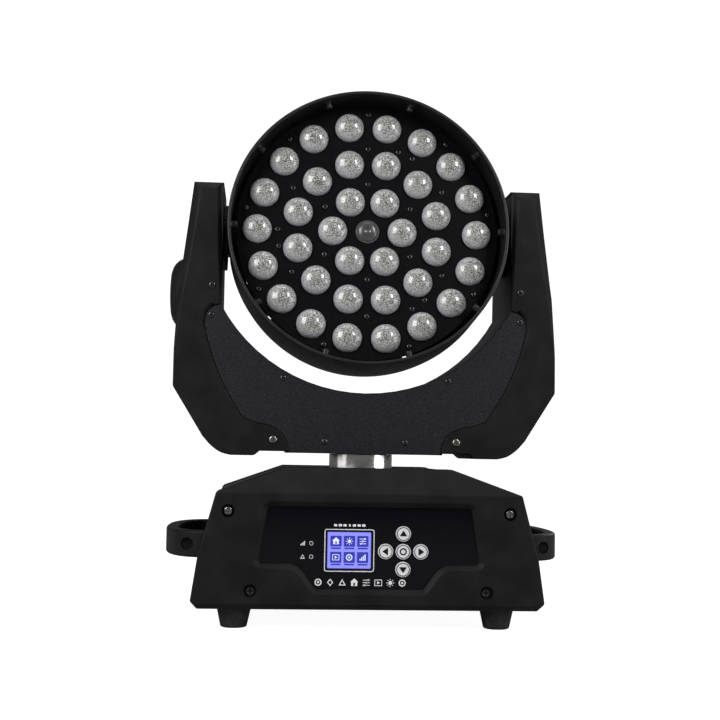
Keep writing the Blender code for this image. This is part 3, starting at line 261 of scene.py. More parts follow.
class Solid:
    """A mesh in the making. Its outlines lie in a plane, and its place carries them there."""

    def __init__(self, plane="XZ", place=None):
        self.work = bmesh.new()
        self.plane = PLANES[plane]
        self.place = place or Matrix()

    def ring(self, outline, depth):
        return [self.work.verts.new(self.place @ (self.plane @ Vector((u, v, depth))))
                for u, v in outline]

    def wall(self, first, second):
        for k, corner in enumerate(first):
            following = (k + 1) % len(first)
            self.work.faces.new((corner, first[following], second[following], second[k]))

    def cap(self, *rings):
        """Close the flat area between the rings."""
        edges = [self.work.edges.get(pair) or self.work.edges.new(pair)
                 for ring in rings for pair in zip(ring, ring[1:] + ring[:1])]
        bmesh.ops.triangle_fill(self.work, use_beauty=True, edges=edges)

    def tower(self, outline, levels):
        """One outline at each (inset, depth) level, with walls between them."""
        rings = [self.ring(inset(outline, move), depth) for move, depth in levels]
        for first, second in zip(rings, rings[1:]):
            self.wall(first, second)
        return rings[0], rings[-1]

    def slab(self, outline, low, high, holes=(), edge=0.4, steps=3):
        """A flat outline with holes and thickness, its edges rounded."""
        levels = rounding(edge, low, -1, steps)[::-1] + rounding(edge, high, 1, steps)
        ends = [self.tower(ring, levels) for ring in [outline] + [hole[::-1] for hole in holes]]
        self.cap(*[first for first, last in ends])
        self.cap(*[last for first, last in ends])

    def film(self, outline, low, high, *holes, edge=0.02):
        """A thin layer of ink, or an inlay."""
        self.slab(outline, low, high, holes, edge, 1)

    def lathe(self, profile, sides=96, centre=(0.0, 0.0), closed=False):
        """A (radius, depth) profile turned about its axis; an open one starts and ends there."""
        rings = []
        for radius, depth in profile:
            tip = radius < 1e-6
            rings.append(self.ring([centre] if tip else circle(radius, sides, centre), depth))
        pairs = list(zip(rings, rings[1:])) + ([(rings[-1], rings[0])] if closed else [])
        for first, second in pairs:
            if len(first) == len(second):
                self.wall(first, second)
                continue
            tip, rim = (first[0], second) if len(first) == 1 else (second[0], first)
            for k, corner in enumerate(rim):
                self.work.faces.new((tip, corner, rim[(k + 1) % sides]))

    def screw(self, u, v, base, radius, height, sides=24):
        """A pan head on base, with a cross recess in its crown."""
        top = base + height
        crown = [(0.0, base), (0.0, base + height * 0.3), (radius * 0.07, base + height * 0.62),
                 (radius * 0.2, base + height * 0.86), (radius * 0.36, top)]
        foot, rim = self.tower(circle(radius, sides, (u, v)), crown)
        arm, half = radius * 0.56, radius * 0.17
        cross = []
        for quarter in range(4):
            c, s = round(math.cos(quarter * math.pi / 2)), round(math.sin(quarter * math.pi / 2))
            cross += [(u + a * c - b * s, v + a * s + b * c)
                      for a, b in ((arm, -half), (arm, half), (half, half))]
        lip, floor = self.tower(cross[::-1], [(0.0, top), (-radius * 0.05, top - height * 0.75)])
        self.cap(foot)
        self.cap(rim, lip)
        self.cap(floor)

    def object(self, name):
        bmesh.ops.recalc_face_normals(self.work, faces=self.work.faces)
        bmesh.ops.scale(self.work, vec=(MM, MM, MM), verts=self.work.verts)
        mesh = bpy.data.meshes.new(name)
        self.work.to_mesh(mesh)
        self.work.free()
        obj = bpy.data.objects.new(name, mesh)
        bpy.context.scene.collection.objects.link(obj)
        return obj


def carve(obj, *tools):
    """Cut solids out of an object and throw them away."""
    for tool in tools:
        modifier = obj.modifiers.new("cut", "BOOLEAN")
        modifier.solver = "EXACT"
        modifier.object = tool
    depsgraph = bpy.context.evaluated_depsgraph_get()
    obj.data = bpy.data.meshes.new_from_object(obj.evaluated_get(depsgraph))
    obj.modifiers.clear()
    for tool in tools:
        bpy.data.objects.remove(tool)
    return obj


def dress(obj, finish, body, *replaced, angle=32.0):
    """Shade an object smoothly, give it its finish and let it ride on its body."""
    mesh = obj.data
    mesh.materials.clear()
    mesh.materials.append(FINISHES[finish][0])
    mesh.polygons.foreach_set("use_smooth", [True] * len(mesh.polygons))
    mesh.set_sharp_from_angle(angle=math.radians(angle))
    normals = obj.modifiers.new("normals", "WEIGHTED_NORMAL")
    normals.keep_sharp = True
    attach(obj, body)
    if replaced:
        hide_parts(*replaced)
    return obj


# ======== finishes

class Nodes:
    """The shader of one material, and the textures that feed it, in object coordinates."""

    def __init__(self, name, colour, roughness, **sockets):
        self.material = bpy.data.materials.new(name)
        self.material.use_nodes = True
        self.tree = self.material.node_tree
        self.shader = self.tree.nodes["Principled BSDF"]
        self.shader.inputs["Base Color"].default_value = (*colour, 1.0)
        self.shader.inputs["Roughness"].default_value = roughness
        for socket, value in sockets.items():
            self.shader.inputs[socket.replace("_", " ")].default_value = value
        self.coordinates = self.tree.nodes.new("ShaderNodeTexCoord").outputs["Object"]

    def add(self, kind, inputs=(), **settings):
        node = self.tree.nodes.new(kind)
        for setting, value in settings.items():
            setattr(node, setting, value)
        for socket, value in dict(inputs).items():
            if isinstance(value, bpy.types.NodeSocket):
                self.tree.links.new(value, node.inputs[socket])
            else:
                node.inputs[socket].default_value = value
        return node

    def noise(self, scale, detail=3.0, stretch=None):
        where = self.coordinates
        if stretch:
            where = self.add("ShaderNodeMapping", {"Vector": where, "Scale": stretch}).outputs[0]
        return self.add("ShaderNodeTexNoise",
                        {"Vector": where, "Scale": scale, "Detail": detail}).outputs["Fac"]

    def cells(self, scale, feature="F1"):
        return self.add("ShaderNodeTexVoronoi", {"Vector": self.coordinates, "Scale": scale},
                        feature=feature).outputs["Distance"]

    def ramp(self, value, *stops):
        node = self.add("ShaderNodeValToRGB", {"Fac": value})
        elements = node.color_ramp.elements
        while len(elements) < len(stops):
            elements.new(0.5)
        for element, (position, colour) in zip(elements, stops):
            element.position = position
            element.color = (*colour, 1.0) if isinstance(colour, tuple) else (colour,) * 3 + (1.0,)
        return node.outputs["Color"]

    def mix(self, share, first, second, blend="MIX"):
        node = self.add("ShaderNodeMix", data_type="RGBA", blend_type=blend)
        for index, value in ((0, share), (6, first), (7, second)):
            if isinstance(value, bpy.types.NodeSocket):
                self.tree.links.new(value, node.inputs[index])
            else:
                node.inputs[index].default_value = value if index == 0 else (*value, 1.0)
        return node.outputs[2]

    def span(self, value, low, high):
        return self.add("ShaderNodeMapRange", {"Value": value, "To Min": low, "To Max": high}
                        ).outputs["Result"]

    def feed(self, socket, value):
        self.tree.links.new(value, self.shader.inputs[socket])
        return self

    def bump(self, height, strength, distance):
        before = self.shader.inputs["Normal"]
        inputs = {"Height": height, "Strength": strength, "Distance": distance * MM}
        if before.is_linked:
            inputs["Normal"] = before.links[0].from_socket
        node = self.add("ShaderNodeBump", inputs)
        self.tree.links.new(node.outputs["Normal"], before)
        return self


def plain(name, colour, roughness, tint=(), gloss=(), skin=(), **sockets):
    """A plain finish, a little uneven.

    tint is a noise's scale and detail, and the stops of the colour it gives. gloss is a scale, a
    detail and the lowest and highest roughness. skin lists bumps as scale, detail, strength and
    distance, and one without detail is made of cells. A noise's stretch may come last.
    """
    n = Nodes(name, colour, roughness, **sockets)
    if tint:
        scale, detail, *stops = tint
        n.feed("Base Color", n.ramp(n.noise(scale, detail), *stops))
    if gloss:
        scale, detail, low, high, *stretch = gloss
        n.feed("Roughness", n.span(n.noise(scale, detail, *stretch), low, high))
    for scale, detail, strength, distance, *stretch in skin:
        texture = n.noise(scale, detail, *stretch) if detail else n.cells(scale)
        n.bump(texture, strength, distance)
    return n


def ink(name, colour):
    worn = tuple(share * 0.9 for share in colour)
    return plain(name, colour, 0.5, (900.0, 2.0, (0.2, worn), (0.7, colour)),
                 Specular_IOR_Level=0.15)


def powder_coat(name, shade, sparkle, sheen):
    """Powder coat: a pebbled blue-black skin with paler specks."""
    n = Nodes(name, (shade, shade, shade * 1.4), 0.45, Specular_IOR_Level=sheen)
    base = n.ramp(n.noise(620.0, 3.0), (0.38, (shade * 0.3, shade * 0.3, shade * 0.55)),
                  (0.62, (shade * 1.8, shade * 1.9, shade * 2.8)))
    specks = n.ramp(n.cells(900.0), (0.1, 1.0), (0.36, 0.0))
    n.feed("Base Color", n.mix(specks, base, (sparkle, sparkle, sparkle * 1.3)))
    n.feed("Roughness", n.span(n.noise(700.0, 3.0), 0.3, 0.6))
    n.bump(n.noise(700.0, 3.0), 0.55, 0.3)
    return n.bump(n.cells(1000.0), 0.35, 0.15)


def screen_glow(name, colour, strength):
    n = Nodes(name, tuple(c * 0.5 for c in colour), 0.12, Emission_Strength=strength)
    n.shader.inputs["Emission Color"].default_value = (*colour, 1.0)
    n.feed("Emission Color", n.ramp(n.cells(2600.0, "DISTANCE_TO_EDGE"),
                                    (0.02, tuple(c * 0.72 for c in colour)), (0.12, colour)))
    return n


def solder_mask():
    n = Nodes("solder_mask", (0.012, 0.06, 0.03), 0.3, Coat_Weight=0.3)
    tracks = n.ramp(n.cells(260.0, "DISTANCE_TO_EDGE"), (0.04, 1.0), (0.07, 0.0))
    n.feed("Base Color", n.mix(tracks, (0.01, 0.055, 0.026), (0.03, 0.13, 0.06)))
    return n.bump(tracks, 0.2, 0.05)


def pebbled_lens():
    """A clear pebbled lens over its light pipe: pale and mottled, with a pitted heart and a painted
    highlight round its rim.
    """
    n = Nodes("pebbled_lens", (0.5, 0.5, 0.48), 0.14, Coat_Weight=1.0, Coat_Roughness=0.05,
              Coat_IOR=1.5)
    uv = n.add("ShaderNodeUVMap", uv_map="lens").outputs["UV"]
    reach = n.add("ShaderNodeVectorMath", {0: uv}, operation="LENGTH").outputs["Value"]
    aside = n.add("ShaderNodeVectorMath", {0: uv, 1: (0.24, 0.12, 0.0)}, operation="DISTANCE")
    # Darker in the middle and paler outwards, ending in a painted highlight round the rim.
    body = n.ramp(reach, (0.0, (0.34, 0.335, 0.315)), (0.45, (0.35, 0.345, 0.33)),
                  (0.78, (0.4, 0.405, 0.405)), (0.93, (0.4, 0.41, 0.43)),
                  (1.0, (0.52, 0.53, 0.55)))
    pits = n.ramp(n.cells(640.0), (0.2, (0.02, 0.02, 0.018)), (0.55, (1.0, 1.0, 1.0)))
    grit = n.ramp(n.noise(1150.0, 2.0), (0.38, (0.16, 0.16, 0.155)), (0.6, (1.35, 1.35, 1.33)))
    marks = n.mix(1.0, pits, grit, "MULTIPLY")
    depth = n.ramp(aside.outputs["Value"], (0.3, 1.0), (0.7, 0.85), (1.05, 0.5))
    n.feed("Base Color", n.mix(1.0, body, n.mix(depth, (1.0, 1.0, 1.0), marks), "MULTIPLY"))
    n.feed("Roughness", n.span(n.noise(1300.0, 2.0), 0.26, 0.46))
    n.bump(n.cells(720.0), 0.45, 0.3)
    return n.bump(n.noise(1500.0, 2.0), 0.3, 0.2)


def smoked_lens():
    n = Nodes("smoked_lens", (0.025, 0.025, 0.026), 0.3, Coat_Weight=0.4, Coat_Roughness=0.2)
    uv = n.add("ShaderNodeUVMap", uv_map="lens").outputs["UV"]
    reach = n.add("ShaderNodeVectorMath", {0: uv}, operation="LENGTH").outputs["Value"]
    # Painted highlights: a small pale spot at the middle and a pale ring round the rim of the dark
    # lens.
    n.feed("Base Color", n.ramp(reach, (0.0, (0.07, 0.07, 0.07)), (0.2, (0.03, 0.03, 0.031)),
                                (0.8, (0.045, 0.045, 0.047)), (1.0, (0.1, 0.1, 0.105))))
    return n.bump(n.noise(500.0, 2.0), 0.04, 0.1)


# finish: (material, slot of the record)
FINISHES = {
    "moulded": (plain("moulded_black", (0.008, 0.008, 0.0083), 0.5,
                      (46.0, 6.0, (0.32, (0.0045, 0.0045, 0.0047)),
                       (0.68, (0.0095, 0.0095, 0.0098))),
                      (160.0, 4.0, 0.42, 0.6),
                      [(1500.0, 2.0, 0.25, 0.12), (900.0, None, 0.15, 0.1)],
                      Specular_IOR_Level=0.12), "cover_plastic"),
    "satin": (plain("satin_black", (0.011, 0.011, 0.012), 0.36,
                    (30.0, 4.0, (0.35, (0.007, 0.007, 0.0075)), (0.7, (0.011, 0.011, 0.012))),
                    (120.0, 4.0, 0.3, 0.46), [(1400.0, 2.0, 0.08, 0.08)],
                    Specular_IOR_Level=0.3), "cover_plastic"),
    "powder": (powder_coat("powder_black", 0.0038, 0.032, 0.3), "powder_coat"),
    # A darker copy of the powder coat for the lens plate: painted shade, as the plate sits in
    # shadow inside the ring.
    "shaded_powder": (powder_coat("powder_painted_shade", 0.001, 0.006, 0.08), "powder_coat"),
    "gloss": (plain("gloss_black", (0.0015, 0.0015, 0.003), 0.1,
                    (700.0, 2.0, (0.6, (0.0012, 0.0012, 0.0028)), (0.8, (0.004, 0.004, 0.008))),
                    (90.0, 6.0, 0.06, 0.16), [(26.0, 2.0, 0.03, 0.2)],
                    Specular_IOR_Level=0.16), "gloss_panel"),
    "socket": (plain("socket_black", (0.012, 0.012, 0.013), 0.3, (), (200.0, 4.0, 0.24, 0.42),
                     [(900.0, 2.0, 0.1, 0.08)]), "socket_plastic"),
    "rubber": (plain("rubber", (0.02, 0.02, 0.02), 0.82,
                     (150.0, 5.0, (0.35, (0.014, 0.014, 0.014)), (0.75, (0.034, 0.034, 0.035))),
                     (), [(1100.0, 4.0, 0.4, 0.2)], Specular_IOR_Level=0.3), "rubber"),
    "ink": (ink("white_ink", (0.7, 0.7, 0.7)), "gloss_panel"),
    "key": (plain("key_plastic", (0.6, 0.6, 0.61), 0.35,
                  (220.0, 4.0, (0.3, (0.55, 0.55, 0.56)), (0.7, (0.64, 0.64, 0.65))), (),
                  [(1600.0, 2.0, 0.08, 0.05)], Coat_Weight=0.2), "key_cap"),
    "key_mark": (ink("black_ink", (0.004, 0.004, 0.004)), "key_cap"),
    "screen": (screen_glow("screen_field", (0.22, 0.23, 0.92), 0.9), "display"),
    "tile": (screen_glow("screen_tile", (0.035, 0.04, 0.42), 0.5), "display"),
    "icon": (screen_glow("screen_icon", (0.55, 0.6, 1.0), 1.0), "display"),
    "steel": (plain("bright_steel", (0.72, 0.71, 0.69), 0.16, (),
                    (60.0, 4.0, 0.1, 0.26, (1.0, 1.0, 22.0)),
                    [(260.0, 3.0, 0.1, 0.05, (0.3, 0.3, 9.0))], Metallic=1.0), "polished_steel"),
    "screw": (plain("screw_steel", (0.24, 0.23, 0.21), 0.22, (), (800.0, 3.0, 0.14, 0.38),
                    [(1500.0, 2.0, 0.15, 0.05)], Metallic=1.0), "polished_steel"),
    "dark_screw": (plain("screw_black", (0.075, 0.075, 0.08), 0.2, (), (900.0, 3.0, 0.12, 0.3),
                         [(1500.0, 2.0, 0.15, 0.05)], Metallic=1.0), "motor_metal"),
    "aluminium": (plain("brushed_aluminium", (0.6, 0.6, 0.61), 0.36, (),
                        (80.0, 4.0, 0.26, 0.46, (1.0, 14.0, 1.0)),
                        [(300.0, 3.0, 0.14, 0.05, (1.0, 9.0, 1.0))], Metallic=1.0), "aluminium"),
    "motor": (plain("motor_metal", (0.09, 0.09, 0.095), 0.45, (), (150.0, 4.0, 0.36, 0.56),
                    [(700.0, 3.0, 0.15, 0.08)], Metallic=0.6), "motor_metal"),
    "board": (solder_mask(), "circuit_board"),
    "lens": (pebbled_lens(), "lens"),
    "smoked": (smoked_lens(), "lens"),
}
FINISHES = {name: (nodes.material, slot) for name, (nodes, slot) in FINISHES.items()}

CAD_FINISHES = {
    "powder": ["base_tray", "rear_panel", "yoke_frame", "head_frame"],
    "socket": ["power_inlet", "dmx_in_socket", "dmx_out_socket", "head_fan_frame"],
    "aluminium": ["power_supply", "pan_pulley", "pan_pinion", "tilt_pulley", "tilt_pinion",
                  "heat_sink"],
    "rubber": ["pan_belt", "tilt_belt"],
    "motor": ["pan_motor", "tilt_motor", "zoom_motor_1", "zoom_motor_2", "zoom_motor_3"],
    "screw": ["pan_bearing", "tilt_bearing_left", "tilt_bearing_right", "zoom_screw_1",
              "zoom_screw_2", "zoom_screw_3"],
    "board": ["control_board", "driver_board", "led_board"],
}
for finish_name, node_names in CAD_FINISHES.items():
    for node_name in node_names:
        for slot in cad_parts[node_name].material_slots:
            slot.material = FINISHES[finish_name][0]


# ======== base

def bezel(name, front, opening, corner, node):
    """One moulded end of the base; front is 1 for the front end and -1 for the rear."""
    solid = Solid("XZ")
    outer = [(BEZEL_WALL, BEZEL_INSIDE), (BEZEL_WALL, BEZEL_BACK + 0.4),
             (BEZEL_WALL - 0.4, BEZEL_BACK), (0.4, BEZEL_BACK), (0.0, BEZEL_BACK + 0.4)]
    inner_end, face_end = solid.tower(BASE_OUTLINE, outer + rounding(BEZEL_ROUND, BASE_FACE))
    throat = [(OPENING_CHAMFER, BASE_FACE), (OPENING_CHAMFER - 0.35, BASE_FACE - 0.12),
              (0.45, BASE_FACE - OPENING_CHAMFER * 0.72), (0.1, BASE_FACE - OPENING_CHAMFER * 0.82),
              (0.0, BASE_FACE - OPENING_CHAMFER), (0.0, BEZEL_INSIDE + 0.3), (0.3, BEZEL_INSIDE)]
    lip, back_lip = solid.tower(fillet(opening, corner)[::-1], throat)
    wells = []
    for side in (-1, 1):
        for x, z in BEZEL_SCREWS:
            rim, floor = solid.tower(circle(BEZEL_SCREW_RADIUS, 32, (side * x, z))[::-1],
                                     rounding(0.5, BASE_FACE)[::-1] + [(0.0, BEZEL_SCREW_FLOOR)])
            wells.append(rim)
            solid.cap(floor)
    solid.cap(face_end, lip, *wells)
    solid.cap(inner_end, back_lip)
    for z in (BASE_BOTTOM + FACE_CHAMFER, BASE_BOTTOM + FACE_CHAMFER + 1.2, SHOULDER_Z - 1.2,
              SHOULDER_Z, SHOULDER_Z + 1.2):
        bmesh.ops.bisect_plane(solid.work, plane_co=(0, 0, z), plane_no=(0, 0, 1),
                               geom=[*solid.work.verts, *solid.work.edges, *solid.work.faces])
    slope = FACE_SLOPE_BACK / (BASE_TOP - SHOULDER_Z)
    for vertex in solid.work.verts:
        depth, z = -vertex.co.y, vertex.co.z
        above, below = z - SHOULDER_Z, BASE_BOTTOM + FACE_CHAMFER - z
        lean = slope * max(above, 0.0) + max(below, 0.0)
        if abs(above) < 0.1:
            lean = slope * 0.3
        depth -= lean * min(max((depth - BEZEL_BACK) / (BASE_FACE - BEZEL_BACK), 0.0), 1.0)
        vertex.co.y = -front * depth
    return dress(solid.object(name), "moulded", "base", node)


def panel_opening():
    """The front opening: a wide upper part that narrows in an S on each side."""
    half = ([(45.8, 35.3)]
            + smooth([(51.0, 42.5), (57.5, 51.0), (65.0, 55.6), (72.0, 56.2)], 6)
            + arc((90.4, 59.2), 3.0, -90, -10, 6)
            + [(86.6, 104.0)])
    return mirrored(half)


def base_screws():
    """Bright screws near the top of each bezel, black ones deeper near the bottom."""
    for name, finish, (x, z), rise in (("base_screws_upper", "screw", BEZEL_SCREWS[0], 3.0),
                                       ("base_screws_lower", "dark_screw", BEZEL_SCREWS[1], 1.2)):
        solid = Solid("XZ")
        for turn in (0, 180):
            solid.place = Matrix.Rotation(math.radians(turn), 4, "Z")
            for side in (-1, 1):
                solid.screw(side * x, z, BEZEL_SCREW_FLOOR - 0.4, 4.3, rise)
        dress(solid.object(name), finish, "base")


def top_cover():
    """The folded sheet between the bezels, with a row of cooling slots in each side."""
    end = BEZEL_BACK - COVER_GAP
    skin = inset(mirrored(BASE_HALF), COVER_INSET)
    right = [(skin[1][0], skin[1][1] + COVER_GAP), *skin[2:5]]
    over = right + [(-x, z) for x, z in reversed(right)]
    outline = fillet(ribbon(over, COVER_SHEET), [3.5] * len(over) + [2.0] * len(over), least=16.0)
    solid = Solid("XZ")
    solid.slab(outline, -end, end, edge=0.3, steps=2)
    cover = solid.object("base_top_sheet")
    hole, slots = Solid("XY"), Solid("YZ")
    radius = COLLAR_RADIUS + COLLAR_CLEARANCE
    hole.lathe([(0, 120), (radius, 120), (radius, 145), (0, 145)])
    for column in range(COVER_SLOTS):
        y = (column - COVER_SLOTS // 2) * COVER_SLOT_PITCH
        slots.slab(rectangle(*COVER_SLOT, (y, COVER_SLOT_Z), 1.95), -160, 160, edge=0.2)
    cover = carve(cover, hole.object("hole"), slots.object("slots"))
    dress(cover, "powder", "base", "base_top_cover")


def control_panel():
    places = {key: (KEY_X + u * KEY_PITCH, KEY_Z + v * KEY_PITCH) for key, (u, v) in KEYS.items()}
    window = rectangle(LCD_WINDOW[0] + 0.7, LCD_WINDOW[1] + 0.7, (LCD_X, LCD_Z), 0.6)
    middle = sum(PANEL_Z) / 2
    panel = Solid("XZ")
    panel.slab(rectangle(2 * PANEL_HALF_WIDTH, PANEL_Z[1] - PANEL_Z[0], (0, middle), 2.0),
               PANEL_BACK, PANEL_FACE, edge=0.25,
               holes=[window, *[circle(KEY_RADIUS + 0.35, 48, place) for place in places.values()]])
    dress(panel.object("control_panel_sheet"), "gloss", "base", "display_panel")

    for key, (x, z) in places.items():
        cap = Solid("XZ")
        cap.lathe([(0, KEY_FACE - 0.25), (3.9, KEY_FACE - 0.18), (4.6, KEY_FACE - 0.02),
                   (5.0, KEY_FACE), (5.1, KEY_FACE - 0.3), (5.7, KEY_FACE - 0.3),
                   (5.8, KEY_FACE), (6.2, KEY_FACE - 0.12),
                   (6.44, KEY_FACE - 0.4), (KEY_RADIUS, KEY_FACE - 0.8), (KEY_RADIUS, 111.2),
                   (2.0, 111.2), (2.0, 106.5), (0, 106.5)], 48, (x, z))
        dress(cap.object(f"key_{key}"), "key", f"{key}_key", f"button_{key}")
        mark = Solid("XZ")
        u, v = KEYS[key]
        shapes = [circle(radius, 32, (x, z)) for radius in KEY_RING]
        if key != "ok":
            arrow = [(-2.0, -3.3), (3.0, 0.0), (-2.0, 3.3)]
            shapes = [fillet([(x + a * u - b * v, z + a * v + b * u) for a, b in arrow], 0.3)]
        mark.film(shapes[0], KEY_FACE - 0.35, KEY_FACE - KEY_INK_DEPTH, *shapes[1:])
        groove, within = (circle(radius, 48, (x, z)) for radius in KEY_GROOVE)
        mark.film(groove, KEY_FACE - 0.4, KEY_FACE - 0.06, within)
        dress(mark.object(f"key_mark_{key}"), "key_mark", f"{key}_key")

    screen = Solid("XZ")
    screen.slab(rectangle(*LCD_WINDOW, (LCD_X, LCD_Z), 0.5), 107.0, LCD_FACE, edge=0.15, steps=2)
    dress(screen.object("lcd_screen"), "screen", "base", "lcd_module")
    tiles, icons = Solid("XZ"), Solid("XZ")
    for column in range(3):
        for row in range(2):
            x, z = LCD_X + (column - 1) * TILE_PITCH[0], LCD_Z + 6.9 - row * TILE_PITCH[1]
            for size, rise, corner in ((TILE, 0.8, 0.8), (TILE_LABEL, -5.2, 0.3)):
                tiles.film(rectangle(*size, (x, z + rise), corner), LCD_FACE, LCD_FACE + TILE_INK)
            icon_shape(icons, column + 3 * row, x, z + 0.8)
    dress(tiles.object("lcd_tiles"), "tile", "base")
    dress(icons.object("lcd_icons"), "icon", "base")
    panel_prints()


def icon_shape(solid, kind, x, z, size=1.0, low=LCD_FACE + TILE_INK, thick=TILE_INK):
    """One of a set of plain pictograms, about 6 mm across."""

    def put(outline, *holes):
        def moved(points):
            return [(x + u * size, z + v * size) for u, v in points]
        solid.film(moved(outline), low, low + thick, *map(moved, holes), edge=0.01)

    if kind == 0:                                   # a house
        put([(-2.4, -2.6), (2.4, -2.6), (2.4, 0.4), (3.2, 0.4), (0, 3.2), (-3.2, 0.4), (-2.4, 0.4)],
            rectangle(1.4, 2.0, (0, -1.3)))
    elif kind == 1:                                 # a sun
        put(circle(1.5, 16))
        for k in range(8):
            put([(c * math.cos(a) - s * math.sin(a), c * math.sin(a) + s * math.cos(a))
                 for a in (k * math.pi / 4,)
                 for c, s in ((2.1, -0.25), (3.1, -0.25), (3.1, 0.25), (2.1, 0.25))])
    elif kind == 2:                                 # sliders
        for row in (-2.0, 0.0, 2.0):
            put(rectangle(5.6, 0.5, (0, row)))
            put(rectangle(1.0, 1.4, (row * 0.8, row)))
    elif kind == 3:                                 # a play mark in a frame
        put(rectangle(6.0, 5.0, corner=0.6), rectangle(5.0, 4.0, corner=0.4))
        put([(-0.9, -1.3), (1.4, 0.0), (-0.9, 1.3)])
    elif kind == 4:                                 # a wheel
        put(circle(2.8, 20), circle(1.9, 20))
        put(circle(0.9, 12))
    elif kind == 5:                                 # bars
        for k, height in enumerate((1.6, 2.8, 4.0, 5.2)):
            put(rectangle(0.9, height, (-2.1 + 1.4 * k, -2.6 + height / 2)))
    elif kind == 6:                                 # a triangle
        put([(-2.8, -2.3), (2.8, -2.3), (0, 2.7)], [(-1.6, -1.6), (1.6, -1.6), (0, 1.3)])
    elif kind == 7:                                 # a diamond
        put([(0, -3.0), (2.4, 0), (0, 3.0), (-2.4, 0)], [(0, -1.9), (1.5, 0), (0, 1.9), (-1.5, 0)])


def panel_prints():
    """The white marks printed on the control panel: a frame and plain pictograms."""
    prints = Solid("XZ")

    def put(outline, *holes):
        prints.film(outline, PANEL_FACE, PANEL_FACE + PRINT_INK, *holes, edge=0.01)

    within = [size - 2 * FRAME_LINE for size in FRAME_SIZE]
    put(rectangle(*FRAME_SIZE, (LCD_X, LCD_Z), 2.4), rectangle(*within, (LCD_X, LCD_Z), 1.9))
    for k in range(7):
        put(rectangle(2.8 if k != 3 else 1.6, 1.9, (LCD_X - 12.0 + 4.0 * k, 88.6), 0.4))
    for z, kind in ((73.2, 5), (61.9, 6)):
        icon_shape(prints, kind, -56.5, z, 0.72, PANEL_FACE, PRINT_INK)
        put(*(circle(radius, 24, (-49.3, z)) for radius in (1.7, 1.35)))
    for k, kind in enumerate((4, 7, 6, 0, 2, 3, 1, 4)):
        icon_shape(prints, kind, -43.0 + 10.2 * k, 40.6, 1.08, PANEL_FACE, PRINT_INK)
    dress(prints.object("panel_prints"), "ink", "base")


def handles():
    """Two carrying handles: bars bent to a rounded D, with a blind hole in the front of each."""
    outer = []
    for step in range(HANDLE_STEPS + 1):
        turn = math.pi * (step / HANDLE_STEPS - 0.5)
        u, v = (abs(wave) ** (2 / HANDLE_SQUARENESS) for wave in (math.cos(turn), math.sin(turn)))
        outer.append((HANDLE_ROOT_X + HANDLE_REACH * u,
                      math.copysign(HANDLE_HALF_LENGTH * v, turn)))
    inner = beside(outer, HANDLE_BAR)
    end_x = HANDLE_ROOT_X - HANDLE_TAIL
    band = ([(end_x, -HANDLE_HALF_LENGTH)] + outer + [(end_x, HANDLE_HALF_LENGTH)]
            + [(end_x, inner[-1][1])] + inner[::-1] + [(end_x, inner[0][1])])
    for name, side in SIDES:
        solid = Solid("XY")
        solid.slab(sided(band, side), *HANDLE_Z, edge=2.2, steps=4)
        hole = Solid("XZ")
        hole.lathe([(0, HANDLE_HOLE_FLOOR), (HANDLE_HOLE_RADIUS, HANDLE_HOLE_FLOOR),
                    (HANDLE_HOLE_RADIUS, 97), (0, 97)], 40,
                   (side * HANDLE_HOLE_X, sum(HANDLE_Z) / 2))
        trim = Solid("XZ")
        trim.slab(inset(BASE_OUTLINE, -0.3), -130, 130, edge=0.05, steps=1)
        handle = carve(solid.object(f"carry_handle_{name}"), hole.object("hole"),
                       trim.object("trim"))
        dress(handle, "moulded", "base", f"handle_{name}")


def feet():
    for row, y in (("front", -FOOT_Y), ("rear", FOOT_Y)):
        for side, sign in SIDES:
            foot = Solid("XY")
            foot.lathe([(0, 3.0), (3.4, 3.0), (3.6, 0.3), (4.0, 0.0), (9.6, 0.0), (10.8, 0.5),
                        (11.5, 1.7), (12.0, 4.0), (14.3, 14.5), (14.9, 17.0),
                        (15.0, FOOT_TOP - 0.6), (14.6, FOOT_TOP), (0, FOOT_TOP)], 64,
                       (sign * FOOT_X, y))
            dress(foot.object(f"rubber_foot_{row}_{side}"), "rubber", "base",
                  f"foot_{row}_{side}")


def shaft():
    radius, low, high = SHAFT_FLANGE
    profile = fillet([(NECK_RADIUS, NECK_TOP), (NECK_RADIUS, COLLAR_TOP),
                      (COLLAR_RADIUS, COLLAR_TOP), (COLLAR_RADIUS, high), (radius, high),
                      (radius, low), (SHAFT_BORE, low), (SHAFT_BORE, NECK_TOP)], 0.8, steps=3)
    solid = Solid("XY")
    solid.lathe(profile, 128, closed=True)
    dress(solid.object("pan_collar"), "steel", "base", "pan_shaft")


# ======== yoke

def seam_line():
    """The edge between the yoke's plates and the right arm cover, bottom to tip."""
    corner = smooth([(68.9, PLATE_BOTTOM), (69.5, 155.0), (74.4, 166.0), (86.0, 173.5),
                     (99.0, 176.0), (109.5, 180.0)])
    rise = smooth([(111.5, 182.0), (125.7, 205.0), (137.5, 231.0), (144.0, 252.0)])
    tip = smooth([(146.6, 264.0), (144.5, 274.0), (138.5, 279.8), (ARM_INNER_X, 281.6)])
    return corner + rise + tip


def floor_arc(radius, steps=64):
    """The yoke's floor under the head, from the right arm round to the left."""
    reach = math.degrees(math.asin(ARM_INNER_X / ARC_RADIUS))
    return arc((0.0, ARC_CENTRE_Z), radius, -90 + reach, -90 - reach, steps)


